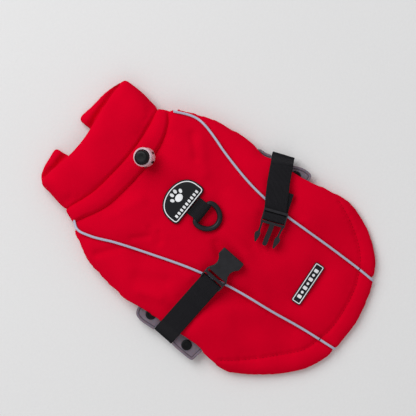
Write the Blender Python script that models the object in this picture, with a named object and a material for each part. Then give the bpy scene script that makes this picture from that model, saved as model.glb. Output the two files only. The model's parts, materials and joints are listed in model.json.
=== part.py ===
"""Red padded winter vest for a dog, laid flat on its belly side with the back up.

Metres. +X is the wearer's right, +Y points to the neck and +Z up. The origin lies on the midline of the
back, halfway along it, on the surface that the vest rests on.
"""

import math

import bmesh
import bpy
import numpy as np
from mathutils import Matrix, Vector
from mathutils.bvhtree import BVHTree

SEAM = 0.0003  # clearance between two sewn pieces
CLEAR = 0.00035  # clearance under what lies on the cloth

# Padded layers
BELLY_WALL = 0.0070
LAYER_GAP = 0.0012  # extra room between back and belly away from the folds
FOLD_TOP = 0.0165  # height of the back just inside the side folds
CROWN = 0.0038  # further rise towards the midline
EDGE_ROUND = 0.0090
TAIL_EDGE = 0.0036  # height of the widest point of the single layer behind the belly
TAIL_TOP = 0.0082
TAIL_CROWN = 0.0022
TAIL_ROUND = 0.0045
BELLY_END = -0.0590
TAIL_START = -0.0680
TAIL_FLAT = -0.0860  # from here the back lies on the surface
TAIL_THIN = -0.1250  # from here the back has the height of one layer

# Side folds of the body seen from above: (along, left edge, right edge)
SIDE_FOLDS = (
    (0.1030, -0.0725, 0.0570),
    (0.0980, -0.0772, 0.0590),
    (0.0870, -0.0842, 0.0640),
    (0.0760, -0.0915, 0.0690),
    (0.0650, -0.0950, 0.0716),
    (0.0500, -0.0987, 0.0750),
    (0.0300, -0.1018, 0.0772),
    (0.0000, -0.1040, 0.0778),
    (-0.0600, -0.1041, 0.0787),
    (-0.0750, -0.1060, 0.0812),
    (-0.0870, -0.1063, 0.0825),
    (-0.0950, -0.1030, 0.0818),
    (-0.1000, -0.1010, 0.0805),
)
EDGE_REACH = 0.020  # distance inside the edge over which the underside rises by the layer gap
CROWN_REACH = 0.025
LEFT_FRONT = 0.1020  # where the side panels start along the folds
RIGHT_FRONT = 0.0875
HEM_CORNER = -0.1000
HEM_DEPTH = 0.0580
HEM_POWER = 3.0
HEM_STITCH = 0.0160  # from the hem to its line of stitching
PIPING_DIP = 0.0014  # depths of the furrows along the pipings, the neck seam and the hem's stitching
SEAM_DIP = 0.0016
STITCH_DIP = 0.0011
ON_RIM = 1e-5  # nearer the outline than this, a point lies on it

# Pipings: (along, across)
LEFT_PIPING = (
    (0.1035, -0.0700),
    (0.0985, -0.0725),
    (0.0831, -0.0721),
    (0.0686, -0.0673),
    (0.0311, -0.0567),
    (-0.0157, -0.0456),
    (-0.0416, -0.0422),
    (-0.0867, -0.0401),
    (-0.1162, -0.0371),
    (-0.1564, -0.0356),
)
RIGHT_PIPING = (
    (0.0903, 0.0592),
    (0.0772, 0.0655),
    (0.0680, 0.0676),
    (0.0606, 0.0675),
    (0.0506, 0.0649),
    (0.0231, 0.0550),
    (-0.0035, 0.0467),
    (-0.0267, 0.0434),
    (-0.0740, 0.0411),
    (-0.1143, 0.0391),
    (-0.1504, 0.0362),
)
PIPING_WIDTH = 0.0030
PIPING_THICK = 0.0012
PIPING_STEPS = 34

# Seams across the neck: (across, along)
BODY_SEAM = (
    (-0.0725, 0.1046),
    (-0.0659, 0.1025),
    (-0.0476, 0.0912),
    (-0.0273, 0.0850),
    (0.0003, 0.0798),
    (0.0337, 0.0798),
    (0.0523, 0.0853),
    (0.0600, 0.0908),
)
COLLAR_SEAM = (
    (-0.0670, 0.1185),
    (-0.0639, 0.1171),
    (-0.0284, 0.1041),
    (0.0052, 0.0975),
    (0.0170, 0.0965),
    (0.0542, 0.0991),
    (0.0570, 0.0998),
)
COLLAR_BACK_EDGE = (
    (-0.0600, 0.1490),
    (-0.0458, 0.1486),
    (-0.0268, 0.1431),
    (0.0078, 0.1397),
    (0.0318, 0.1405),
    (0.0632, 0.1387),
)
COLLAR_FRONT_EDGE = (
    (-0.0600, 0.1480),
    (-0.0520, 0.1535),
    (-0.0270, 0.1554),
    (0.0110, 0.1520),
    (0.0370, 0.1475),
    (0.0632, 0.1387),
)
NECK_FOLDS = ((0.0, -0.0712, 0.0590), (1.0, -0.0668, 0.0562))  # (width share, left, right)
COLLAR_FOLDS = ((0.0, -0.0660, 0.0566), (0.5, -0.0640, 0.0602), (1.0, -0.0600, 0.0632))
COLLAR_ENDS = (0.268, 0.578)  # front ends of the collar, as shares of the way from fold to fold
SEAM_PINCH = 0.36  # share of the neck's wall taken away at a seam
NECK_HALF_HEIGHT = 0.0085
NECK_WALL = 0.0068
NECK_CROWN = 0.0030
NECK_PUFF = 0.0026
INNER_RISE = 0.5  # share of the outer rise that the wall's inner faces take

BELLY_INSET = 0.0015  # belly's edge inside the side folds
BELLY_ROUND = 0.0060
BELLY_FRONT = (-0.0700, 0.0590)  # ends of the belly's front edge across the neck
BELLY_FRONT_INSET = 0.0030

# Leg openings in the belly: (across, along, width, length, turn in degrees)
LEG_OPENINGS = ((-0.0600, 0.0420, 0.0380, 0.0640, 6.0), (0.0400, 0.0390, 0.0360, 0.0600, -6.0))

# Soft dents in the back: (across, along, radius across, radius along, depth)
DENTS = (
    (0.0300, 0.0600, 0.0120, 0.0240, 0.0014),
    (-0.0400, 0.0660, 0.0160, 0.0180, 0.0010),
    (-0.0720, -0.0050, 0.0200, 0.0130, 0.0012),
    (-0.0640, -0.0500, 0.0260, 0.0120, 0.0013),
    (0.0300, -0.0330, 0.0200, 0.0160, 0.0010),
    (0.0050, 0.0050, 0.0200, 0.0160, 0.0008),
    (-0.0050, -0.0800, 0.0300, 0.0160, 0.0009),
)

# Webbing and bands
WEB_WIDTH = 0.0196
WEB_THICK = 0.0015
BAND_THICK = 0.0012
BAND_ROOM = 0.0017
BAND_WIDTH = 0.0240
BAND_MIDDLE = BELLY_WALL + CLEAR + BAND_THICK / 2
BAND_CORNER = 0.0090
NOTCH_EXTRA = 0.0022  # room at each side of the strap in a band's notch
NOTCH_DEPTH = 0.0043
NOTCH_SLOPE = 0.0010
# (side, across, along, length, turn in degrees, notch along from its middle)
BANDS = (("left", -0.1030, -0.0230, 0.0720, 6.7, 0.0035), ("right", 0.0722, -0.0230, 0.0580, 6.0, 0.0035))
SNAP_RADIUS = 0.0049
SNAP_THICK = 0.0010
SNAP_CHAMFER = 0.0005
SNAPS = (("left_front", -0.1024, 0.0005), ("left_rear", -0.1076, -0.0420), ("right_rear", 0.0779, -0.0387))

# Buckle, in its own frame: x along it from the strap end, z up from its underside
BUCKLE_HALF = 0.0113
RAIL = 0.0012
SOCKET_LENGTH = 0.0343
SOCKET_THICK = 0.0076
SOCKET_BEVEL = 0.0006
# (along, half width) of the socket
SOCKET_OUTLINE = (
    (0.0000, 0.0104),
    (0.0012, 0.0113),
    (0.0105, 0.0113),
    (0.0130, 0.0103),
    (0.0160, 0.0084),
    (0.0190, 0.0079),
    (0.0220, 0.0084),
    (0.0245, 0.0099),
    (0.0267, 0.0122),
    (0.0343, 0.0118),
)
# (along, height) of the slot that leaves a bar for the strap to go round
STRAP_SLOT = (
    (-0.0010, 0.0046),
    (0.0032, 0.0046),
    (0.0032, 0.0020),
    (-0.0010, 0.0020),
    (-0.0010, -0.0100),
    (0.0060, -0.0100),
    (0.0060, 0.0200),
    (-0.0010, 0.0200),
)
OPEN_SLOT = (0.0086, 0.0108)
# (along, half width) of the mouth and the side windows behind it, and their heights
MOUTH = (
    (0.0360, 0.0105),
    (0.0256, 0.0105),
    (0.0256, 0.0140),
    (0.0185, 0.0140),
    (0.0185, 0.0066),
    (0.0150, 0.0066),
)
MOUTH_HEIGHTS = (0.0019, 0.0057)
SOCKET_START = (-0.0497, -0.0280)
SOCKET_END = (-0.0158, -0.0326)
LEFT_FOLD = (-0.1130, -0.0195)  # middle of the strap where it turns round the band
STRAP_STEPS = 20
STRAP_RETURN = -0.0038  # how far the strap comes back under a band
STRAP_REACH = 0.0018
PLUG_START = (0.0394, -0.0416)
PLUG_LENGTH = 0.0350
PLUG_ROOT = (0.0287, -0.0451)
RIGHT_FOLD = (0.0856, -0.0193)
RIGHT_TURN = math.radians(16.0)  # direction of the right strap where it meets the band

# Badge, label and ring
BADGE_CENTRE = (-0.0002, 0.0371)
BADGE_TURN = -5.0
BADGE_WIDTH = 0.0420
BADGE_HEIGHT = 0.0260
BADGE_THICK = 0.0022
BADGE_CORNER = 0.0035
BADGE_RINGS = ((0.3, 0.0), (0.65, 0.0), (0.96, 0.0), (1.0, 0.0007))  # (share of its size, drop at its top)
LABEL_CENTRE = (0.0002, -0.1027)
LABEL_SIZE = (0.0420, 0.0100)
LABEL_THICK = 0.0014
LABEL_CORNER = 0.0022
LABEL_RINGS = ((0.3, 0.0), (0.7, 0.0), (1.0, 0.0))
RING_CENTRE = (0.0008, 0.0140)  # middle of the straight bar
RING_TURN = -5.0
RING_HALF = 0.0122
RING_SIDE = 0.0040
RING_DEPTH = 0.0185
RING_WIRE = 0.0022
LOOP_LENGTH = 0.0095
LOOP_WIDTH = 0.0184
LOOP_PLY = 0.0021  # from the loop's lower ply to its upper ply, middle to middle

# Cord lock
LOCK_FOOT = (0.0141, 0.0830)
LOCK_TILT = 15.0
LOCK_LEAN = (-0.556, 0.831)  # direction on the surface in which its top leans
LOCK_RADIUS = 0.0088
LOCK_HEIGHT = 0.0140
BORE_RADIUS = 0.0071
BORE_FLOOR = 0.0056
BUTTON_RADIUS = 0.0067
BUTTON_FOOT = 0.0090
BUTTON_HEIGHT = 0.0090
BUTTON_CHAMFER = 0.0012
CORD_RADIUS = 0.0016
CORD_HOLE = 0.0021
CORD_HEIGHT = 0.0032

COLOURS = {
    "cloth": ((0.60, 0.001, 0.018), 0.75, 0.0),
    "piping": ((0.42, 0.42, 0.53), 0.45, 0.1),
    "webbing": ((0.012, 0.012, 0.015), 0.8, 0.0),
    "plastic": ((0.016, 0.017, 0.020), 0.4, 0.0),
    "band": ((0.23, 0.17, 0.22), 0.45, 0.0),
    "rubber": ((0.010, 0.010, 0.012), 0.55, 0.0),
    "clear": ((0.60, 0.34, 0.38), 0.2, 0.0),
}


def smooth(table):
    """A function through the (position, value) rows, smooth between them."""
    rows = sorted(table)
    at = [row[0] for row in rows]
    value = [row[1] for row in rows]
    slope = np.gradient(value, at)

    def read(t):
        t = min(max(t, at[0]), at[-1])
        i = min(max(int(np.searchsorted(at, t)) - 1, 0), len(at) - 2)
        step = at[i + 1] - at[i]
        s = (t - at[i]) / step
        return float(
            value[i] * (1 + 2 * s) * (1 - s) ** 2
            + value[i + 1] * s * s * (3 - 2 * s)
            + step * (slope[i] * s * (1 - s) ** 2 - slope[i + 1] * s * s * (1 - s))
        )

    return read


def mix(a, b, share):
    return a + (b - a) * share


def ease(t):
    t = min(max(t, 0.0), 1.0)
    return t * t * (3 - 2 * t)


def rounding(t):
    """Height share of a quarter round, t of its radius inside the edge."""
    return math.sqrt(1 - (1 - min(max(t, 0.0), 1.0)) ** 2)


left_fold = smooth([(row[0], row[1]) for row in SIDE_FOLDS])
right_fold = smooth([(row[0], row[2]) for row in SIDE_FOLDS])
left_piping = smooth(LEFT_PIPING)
right_piping = smooth(RIGHT_PIPING)
body_seam = smooth(BODY_SEAM)
collar_seam = smooth(COLLAR_SEAM)
collar_back_edge = smooth(COLLAR_BACK_EDGE)
collar_front_edge = smooth(COLLAR_FRONT_EDGE)

HEM_LEFT = SIDE_FOLDS[-1][1]
HEM_RIGHT = SIDE_FOLDS[-1][2]
HEM_MIDDLE = (HEM_LEFT + HEM_RIGHT) / 2
HEM_HALF = (HEM_RIGHT - HEM_LEFT) / 2


def hem(x):
    share = min(abs(x - HEM_MIDDLE) / HEM_HALF, 1.0)
    return HEM_CORNER - HEM_DEPTH * (1 - share**HEM_POWER)


def line_of(points):
    return np.array(points[:-1]), np.array(points[1:])


def distance(x, y, line):
    """From a point to a chain of straight pieces."""
    a, b = line
    along = b - a
    p = np.array((x, y)) - a
    share = np.clip((p * along).sum(1) / (along**2).sum(1), 0, 1)
    return float(np.sqrt(((p - along * share[:, None]) ** 2).sum(1)).min())


FOLD_STEPS = 28
HEM_STEPS = 40
fold_stations = np.linspace(SIDE_FOLDS[0][0], HEM_CORNER, FOLD_STEPS)
hem_stations = HEM_MIDDLE - HEM_HALF * np.cos(np.linspace(0, math.pi, HEM_STEPS))
HEM_LINE = line_of([(x, hem(x)) for x in hem_stations])
OUTLINE = line_of(
    [(left_fold(y), y) for y in fold_stations]
    + [(x, hem(x)) for x in hem_stations[1:-1]]
    + [(right_fold(y), y) for y in fold_stations[::-1]]
)
PIPING_LINES = [
    line_of([(across(y), y) for y in np.linspace(table[0][0], table[-1][0], FOLD_STEPS)])
    for across, table in ((left_piping, LEFT_PIPING), (right_piping, RIGHT_PIPING))
]
belly_stations = fold_stations[fold_stations > BELLY_END]
BELLY_LINE = line_of(
    [(left_fold(y) + BELLY_INSET, y) for y in belly_stations]
    + [(left_fold(BELLY_END) + BELLY_INSET, BELLY_END), (right_fold(BELLY_END) - BELLY_INSET, BELLY_END)]
    + [(right_fold(y) - BELLY_INSET, y) for y in belly_stations[::-1]]
)


def bump(x, y, centre_x, centre_y, radius_x, radius_y):
    return math.exp(-(((x - centre_x) / radius_x) ** 2) - ((y - centre_y) / radius_y) ** 2)


def edge_lift(x, y):
    """Height of the back's underside at the side folds, raised over the bands and snaps."""
    lift = BELLY_WALL + SEAM
    for side, _, centre_y, length, _, _ in BANDS:
        if (x < 0) == (side == "left"):
            reach = length / 2 + 0.018
            lift += BAND_ROOM * ease((reach - abs(y - centre_y)) / 0.008)
    for _, snap_x, snap_y in SNAPS:
        lift += 1.15 * SNAP_THICK * min(2.2 * bump(x, y, snap_x, snap_y, 0.020, 0.020), 1.0)
    return lift


def tail_share(y):
    return ease((TAIL_START - y) / (TAIL_START - TAIL_FLAT))


def back_underside(x, y):
    inside = distance(x, y, OUTLINE)
    share = tail_share(y)
    over_belly = edge_lift(x, y) + LAYER_GAP * (1 - math.exp(-inside / EDGE_REACH))
    on_surface = TAIL_EDGE * (1 - rounding(inside / TAIL_ROUND))
    return mix(over_belly, on_surface, share) if inside > ON_RIM else edge_height(x, y)


def edge_height(x, y):
    return mix(edge_lift(x, y), TAIL_EDGE, tail_share(y))


def back_top(x, y):
    inside = distance(x, y, OUTLINE)
    edge = edge_height(x, y)
    thin = ease((BELLY_END + 0.012 - y) / (BELLY_END + 0.012 - TAIL_THIN))
    full = mix(FOLD_TOP, TAIL_TOP, thin)
    crown = mix(CROWN, TAIL_CROWN, thin) * (1 - math.exp(-inside / CROWN_REACH))
    height = edge + (full - edge) * rounding(inside / mix(EDGE_ROUND, TAIL_ROUND + 0.002, thin)) + crown
    for line in PIPING_LINES:
        height -= PIPING_DIP * math.exp(-((distance(x, y, line) / 0.0032) ** 2)) * ease(inside / 0.006)
    height -= SEAM_DIP * math.exp(-(((body_seam(x) - y) / 0.005) ** 2))
    stitch = distance(x, y, HEM_LINE) - HEM_STITCH
    height -= STITCH_DIP * math.exp(-((stitch / 0.003) ** 2)) * tail_share(y + 0.012)
    for dent_x, dent_y, radius_x, radius_y, depth in DENTS:
        height -= depth * bump(x, y, dent_x, dent_y, radius_x, radius_y) * ease(inside / 0.012)
    return height if inside > ON_RIM else edge


def material(name):
    found = bpy.data.materials.get(name)
    if found:
        return found
    colour, roughness, metallic = COLOURS[name]
    made = bpy.data.materials.new(name)
    made.use_nodes = True
    shader = made.node_tree.nodes["Principled BSDF"]
    shader.inputs["Base Color"].default_value = (*colour, 1.0)
    shader.inputs["Roughness"].default_value = roughness
    shader.inputs["Metallic"].default_value = metallic
    made.diffuse_color = (*colour, 1.0)
    return made


def new_object(name, mesh_data, finish, round_piece=False, matrix=None):
    """An object of this bmesh, its faces turned outwards, placed by its matrix."""
    bmesh.ops.recalc_face_normals(mesh_data, faces=mesh_data.faces)
    mesh = bpy.data.meshes.new(name)
    mesh_data.to_mesh(mesh)
    mesh_data.free()
    mesh.materials.append(material(finish))
    made = bpy.data.objects.new(name, mesh)
    bpy.context.scene.collection.objects.link(made)
    if matrix:
        made.matrix_world = matrix
    if round_piece:
        mesh.shade_smooth()
        mesh.set_sharp_from_angle(angle=math.radians(40))
    return made


def face(mesh_data, corners):
    """A face through these corners, leaving out repeats; nothing if fewer than three are left."""
    kept = []
    for corner in corners:
        if corner not in kept:
            kept.append(corner)
    if len(kept) > 2:
        mesh_data.faces.new(kept)


def slab(name, plan, top, underside, finish="cloth"):
    """A closed pad over a grid of (x, y) points, between two height functions that may meet at its rim."""
    mesh_data = bmesh.new()
    upper = [[mesh_data.verts.new((x, y, top(x, y))) for x, y in row] for row in plan]
    lower = []
    for row, above in zip(plan, upper):
        lower.append([])
        for (x, y), vertex in zip(row, above):
            z = underside(x, y)
            same = abs(vertex.co.z - z) < 1e-6
            lower[-1].append(vertex if same else mesh_data.verts.new((x, y, z)))
    close_grids(mesh_data, upper, lower)
    return new_object(name, mesh_data, finish, True)


def close_grids(mesh_data, upper, lower, looped=False):
    """Faces over two matching grids and round their rims. looped joins the last row to the first."""
    rows, columns = len(upper), len(upper[0])
    following = [(i, (i + 1) % rows) for i in range(rows if looped else rows - 1)]
    for i, j in following:
        for k in range(columns - 1):
            face(mesh_data, (upper[i][k], upper[i][k + 1], upper[j][k + 1], upper[j][k]))
            face(mesh_data, (lower[i][k + 1], lower[i][k], lower[j][k], lower[j][k + 1]))
        for k in (0, columns - 1):
            face(mesh_data, (upper[i][k], upper[j][k], lower[j][k], lower[i][k]))
    if not looped:
        for i in (0, rows - 1):
            for k in range(columns - 1):
                face(mesh_data, (upper[i][k], lower[i][k], lower[i][k + 1], upper[i][k + 1]))


# Rows of the back from the neck seam to the hem, as distances along the midline
BACK_ROWS = (
    0.0000, 0.0020, 0.0060, 0.0120, 0.0220, 0.0340, 0.0480, 0.0620, 0.0760, 0.0900, 0.1040, 0.1180, 0.1320,
    0.1440, 0.1540, 0.1660, 0.1800, 0.1940, 0.2060, 0.2150, 0.2195, 0.2225, 0.2255, 0.2300, 0.2345, 0.2368,
    0.2380,
)
BELLY_DEPTHS = (0.0, 0.05, 0.12, 0.22, 0.32, 0.42, 0.52, 0.62, 0.72, 0.82, 0.91, 0.965, 0.99, 1.0)
BELLY_SHARES = (
    0.0, 0.008, 0.022, 0.04, 0.08, 0.15, 0.27, 0.4, 0.5, 0.6, 0.73, 0.85, 0.92, 0.96, 0.978, 0.992, 1.0,
)
EDGE_SHARES = (0.0, 0.02, 0.06, 0.13, 0.24, 0.42, 0.62, 0.80, 0.92, 1.0)  # from a fold to a piping
MIDDLE_SHARES = (0.0, 0.025, 0.08, 0.16, 0.25, 0.34, 0.43, 0.52, 0.61, 0.70, 0.79, 0.87, 0.94, 0.98, 1.0)


def body_plan(start, finish, shares, front_bows=True):
    """A grid from one long line to another, whose rows turn from the neck seam's curve to the hem's."""

    def bow(curve, a, b, share):
        x = mix(a[0], b[0], share)
        return curve(x) - mix(curve(a[0]), curve(b[0]), share)

    grid = []
    for station in BACK_ROWS:
        v = station / BACK_ROWS[-1]
        a, b = start(v), finish(v)
        row = []
        for share in shares:
            y = mix(a[1], b[1], share)
            if front_bows:
                y += (1 - v) ** 2 * bow(body_seam, start(0), finish(0), share)
            y += v**1.5 * bow(hem, start(1), finish(1), share)
            row.append((mix(a[0], b[0], share), y))
        grid.append(row)
    return grid


def along_fold(fold, front):
    def at(v):
        y = mix(front, HEM_CORNER, v)
        return fold(y), y

    return at


def along_piping(piping, offset):
    """Points down a piping, moved across it, that end on the neck seam and on the hem."""

    def at(v):
        front_x = piping(LEFT_FRONT) if piping is left_piping else piping(RIGHT_PIPING[0][0])
        front = body_seam(front_x + offset) - 2 * SEAM
        rear = hem(piping(-0.155) + offset)
        y = mix(front, rear, v)
        return piping(y) + offset, y

    return at


def side_panels():
    reverse = [1 - share for share in reversed(EDGE_SHARES)]
    left = body_plan(
        along_fold(left_fold, LEFT_FRONT), along_piping(left_piping, -SEAM / 2), EDGE_SHARES, False
    )
    right = body_plan(
        along_piping(right_piping, SEAM / 2), along_fold(right_fold, RIGHT_FRONT), reverse, False
    )
    return [slab("side_panel_left", left, back_top, back_underside),
            slab("side_panel_right", right, back_top, back_underside)]


def back_panel():
    left_line = along_piping(left_piping, SEAM / 2)
    right_line = along_piping(right_piping, -SEAM / 2)
    return slab("back_panel", body_plan(left_line, right_line, MIDDLE_SHARES), back_top, back_underside)


def belly_underside(x, y):
    inside = distance(x, y, BELLY_LINE)
    return BELLY_WALL * (1 - rounding(inside / BELLY_ROUND)) if inside > ON_RIM else BELLY_WALL


def chest_panel():
    """The belly side, flat on the surface, rounded at the folds, with two leg openings cut through it."""
    left_start, right_start = BELLY_FRONT
    plan = []
    for depth in BELLY_DEPTHS:
        left_y = mix(body_seam(left_start) - BELLY_FRONT_INSET, BELLY_END, depth)
        right_y = mix(body_seam(right_start) - BELLY_FRONT_INSET, BELLY_END, depth)
        row = []
        for share in BELLY_SHARES:
            x = mix(left_fold(left_y) + BELLY_INSET, right_fold(right_y) - BELLY_INSET, share)
            chord = mix(body_seam(left_start), body_seam(right_start), share)
            seam_x = mix(left_start, right_start, share)
            y = mix(left_y, right_y, share) + (1 - depth) ** 2 * (body_seam(seam_x) - chord)
            row.append((x, y))
        plan.append(row)
    panel = slab("chest_panel", plan, lambda x, y: BELLY_WALL, belly_underside)
    for number, (x, y, width, length, turn) in enumerate(LEG_OPENINGS):
        cutter_mesh = bmesh.new()
        bmesh.ops.create_cone(cutter_mesh, cap_ends=True, segments=28, radius1=0.5, radius2=0.5, depth=0.04)
        bmesh.ops.scale(cutter_mesh, vec=(width, length, 1), verts=cutter_mesh.verts)
        place = Matrix.Translation((x, y, 0)) @ Matrix.Rotation(math.radians(turn), 4, "Z")
        boolean(panel, placed(f"leg_cutter_{number}", cutter_mesh, place, "cloth"), "DIFFERENCE")


def read_column(table, share, column):
    return float(np.interp(share, [row[0] for row in table], [row[column] for row in table]))


def turns_round(low_start, low_finish):
    """(share from left fold to right, direction outwards in degrees) round a flattened tube.

    It runs from low_start on the lower layer to the left fold, over the top to the right fold, and back
    on the lower layer to low_finish.
    """
    steps = [(mix(low_start, 0.0, i / 4), -90.0) for i in range(4)]
    steps += [(0.0, -90.0 - 30.0 * i) for i in range(6)]
    steps += [(share, 90.0) for share in (0.0, 0.03, 0.08, 0.17, 0.3, 0.43, 0.57, 0.7, 0.83, 0.92, 0.97, 1.0)]
    steps += [(1.0, 90.0 - 30.0 * i) for i in range(1, 7)]
    return steps + [(mix(1.0, low_finish, i / 4), -90.0) for i in range(1, 5)]


def tube_wall(name, turns, widths, folds, near, far, pinch, looped):
    """The padded wall of a flattened tube between two edges, its thickness times pinch at each width."""
    mesh_data = bmesh.new()
    outer, inner = [], []
    for share, direction in turns:
        up = math.sin(math.radians(direction))
        out = math.cos(math.radians(direction))
        outer.append([])
        inner.append([])
        for width in widths:
            left = read_column(folds, width, 1) + NECK_HALF_HEIGHT
            right = read_column(folds, width, 2) - NECK_HALF_HEIGHT
            wall = NECK_WALL * pinch(width)
            middle = NECK_HALF_HEIGHT - NECK_WALL / 2
            x = mix(left, right, share)
            puff = NECK_CROWN * (1 - abs(2 * share - 1) ** 3) + NECK_PUFF * math.sin(math.pi * width)
            outer_rise = max(up, 0.0) * puff
            inner_rise = abs(up) * puff * (INNER_RISE if up > 0 else INNER_RISE - 0.1)
            for layer, radius, rise in (
                (outer, middle + wall / 2, outer_rise),
                (inner, middle - wall / 2, inner_rise),
            ):
                z = NECK_HALF_HEIGHT + radius * up + rise
                point_x = x + radius * out
                edge = mix(near(point_x, up), far(point_x, up), width)
                layer[-1].append(mesh_data.verts.new((point_x, edge, z)))
    close_grids(mesh_data, outer, inner, looped)
    return new_object(name, mesh_data, "cloth", True)


def neck_band():
    widths = (0.0, 0.08, 0.2, 0.4, 0.6, 0.8, 0.92, 1.0)

    def pinch(width):
        return 1 - SEAM_PINCH * (1 - rounding(min(width, 1 - width) / 0.25))

    turns = turns_round(0.5, 0.5)[:-1]
    return tube_wall(
        "neck_band", turns, widths, NECK_FOLDS,
        lambda x, up: body_seam(x) + SEAM / 2, lambda x, up: collar_seam(x) - SEAM / 2, pinch, True,
    )


def collar():
    widths = (0.0, 0.04, 0.12, 0.3, 0.5, 0.7, 0.86, 0.94, 0.98, 1.0)

    def pinch(width):
        at_seam = 1 - SEAM_PINCH * (1 - rounding(width / 0.12))
        return at_seam * mix(0.3, 1.0, rounding((1 - width) / 0.08))

    def far(x, up):
        return mix(collar_front_edge(x), collar_back_edge(x), ease((up + 1) / 2))

    return tube_wall(
        "collar", turns_round(*COLLAR_ENDS), widths, COLLAR_FOLDS,
        lambda x, up: collar_seam(x) + SEAM / 2, far, pinch, False,
    )


class Skin:
    """The upper surface of the finished cloth, for what lies on it."""

    def __init__(self, pieces):
        points, faces = [], []
        for piece in pieces:
            start = len(points)
            points += [vertex.co.copy() for vertex in piece.data.vertices]
            faces += [tuple(start + i for i in polygon.vertices) for polygon in piece.data.polygons]
        self.tree = BVHTree.FromPolygons(points, faces)

    def height(self, x, y):
        hit = self.tree.ray_cast(Vector((x, y, 1.0)), Vector((0, 0, -1)))[0]
        return hit.z if hit else 0.0

    def highest(self, centre, across, half, samples=7):
        """The greatest height over a line of this half width."""
        shares = np.linspace(-half, half, samples)
        return max(self.height(centre[0] + across[0] * s, centre[1] + across[1] * s) for s in shares)


def ribbon(name, path, width, thick, finish):
    """A flat strip of (centre, across, normal) frames, with square ends."""
    mesh_data = bmesh.new()
    rings = []
    half, rise = width / 2, thick / 2
    profile = [(-half, -rise), (half, -rise), (half, rise), (-half, rise)]
    for centre, across, normal in path:
        rings.append([mesh_data.verts.new(centre + across * u + normal * w) for u, w in profile])
    count = len(profile)
    for first, second in zip(rings, rings[1:]):
        for i in range(count):
            mesh_data.faces.new((first[i], first[(i + 1) % count], second[(i + 1) % count], second[i]))
    mesh_data.faces.new(rings[0])
    mesh_data.faces.new(rings[-1])
    return new_object(name, mesh_data, finish)


def pipings(skin):
    """The pipings over both long seams, each above the highest cloth near it."""
    made = []
    for name, piping, table in (
        ("piping_left", left_piping, LEFT_PIPING),
        ("piping_right", right_piping, RIGHT_PIPING),
    ):
        front, rear = table[0][0] - 0.0010, table[-1][0] + 0.0012
        stations = mix(front, rear, 0.5 - 0.5 * np.cos(np.linspace(0, math.pi, PIPING_STEPS)))
        path = []
        for y, reach in zip(stations, np.abs(np.gradient(stations)) / 2):
            slope = (piping(y + 0.0005) - piping(y - 0.0005)) / 0.001
            across = Vector((1, -slope, 0)).normalized()
            near = [step for step in (y - reach, y, y + reach) if rear <= step <= front]
            base = max(skin.highest((piping(step), step), across, PIPING_WIDTH / 2, 5) for step in near)
            centre = Vector((piping(y), y, base + CLEAR + PIPING_THICK / 2))
            path.append((centre, across, Vector((0, 0, 1))))
        made.append(ribbon(name, path, PIPING_WIDTH, PIPING_THICK, "piping"))
    return made


def framed_path(points, across):
    """Ribbon frames along points, with the width's direction given for each."""
    path = []
    for i, point in enumerate(points):
        ahead = points[min(i + 1, len(points) - 1)] - points[max(i - 1, 0)]
        normal = ahead.cross(across[i]).normalized()
        path.append((point, across[i], normal))
    return path


def arc(centre, radius, start, finish, steps):
    """(along, height) points of an arc, angles in degrees."""
    angles = [math.radians(mix(start, finish, i / steps)) for i in range(steps + 1)]
    return [(centre[0] + radius * math.cos(a), centre[1] + radius * math.sin(a)) for a in angles]


class Seat:
    """The plane of a flat piece on the cloth: its own x runs from start towards finish."""

    def __init__(self, skin, start, finish, length, half_width):
        x_axis = Vector((finish[0] - start[0], finish[1] - start[1], 0)).normalized()
        y_axis = Vector((-x_axis.y, x_axis.x, 0))
        samples = []
        for along in np.linspace(0, length, 9):
            for across in np.linspace(-half_width, half_width, 7):
                spot = Vector((start[0], start[1], 0)) + x_axis * along + y_axis * across
                samples.append((along, across, skin.height(spot.x, spot.y)))
        samples = np.array(samples)
        flat = np.column_stack((samples[:, :2], np.ones(len(samples))))
        pitch, roll, _ = np.linalg.lstsq(flat, samples[:, 2], rcond=None)[0]
        rest = samples[:, 2] - pitch * samples[:, 0] - roll * samples[:, 1]
        x_axis = (x_axis + Vector((0, 0, pitch))).normalized()
        y_axis = (y_axis + Vector((0, 0, roll))).normalized()
        z_axis = x_axis.cross(y_axis).normalized()
        y_axis = z_axis.cross(x_axis)
        origin = Vector((start[0], start[1], float(rest.max()) + CLEAR))
        self.matrix = Matrix((
            (x_axis.x, y_axis.x, z_axis.x, origin.x),
            (x_axis.y, y_axis.y, z_axis.y, origin.y),
            (x_axis.z, y_axis.z, z_axis.z, origin.z),
            (0, 0, 0, 1),
        ))

    def point(self, along, height, across=0.0):
        return self.matrix @ Vector((along, across, height))


def prism(outline, low, high):
    """A bmesh block over a closed outline of (x, y) points."""
    mesh_data = bmesh.new()
    base = [mesh_data.verts.new((x, y, low)) for x, y in outline]
    base_face = mesh_data.faces.new(base)
    grown = bmesh.ops.extrude_face_region(mesh_data, geom=[base_face])
    raised = [item for item in grown["geom"] if isinstance(item, bmesh.types.BMVert)]
    bmesh.ops.translate(mesh_data, vec=(0, 0, high - low), verts=raised)
    return mesh_data


def box_outline(x0, x1, half_width):
    return [(x0, -half_width), (x1, -half_width), (x1, half_width), (x0, half_width)]


def placed(name, mesh_data, matrix, finish, soften=0.0):
    """An object of this block, its sharp edges bevelled, in its place."""
    if soften:
        sharp = [edge for edge in mesh_data.edges if edge.calc_face_angle(0) > 0.5]
        bmesh.ops.bevel(
            mesh_data, geom=sharp, offset=soften, affect="EDGES", segments=1, profile=0.5, material=-1,
            clamp_overlap=True,
        )
    return new_object(name, mesh_data, finish, matrix=matrix)


def boolean(body, tool, operation):
    """Cuts the tool from the body or joins it to the body, and hides the tool."""
    tool.hide_render = True
    tool.display_type = "WIRE"
    step = body.modifiers.new(tool.name, "BOOLEAN")
    step.object = tool
    step.operation = operation
    step.solver = "EXACT"


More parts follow.
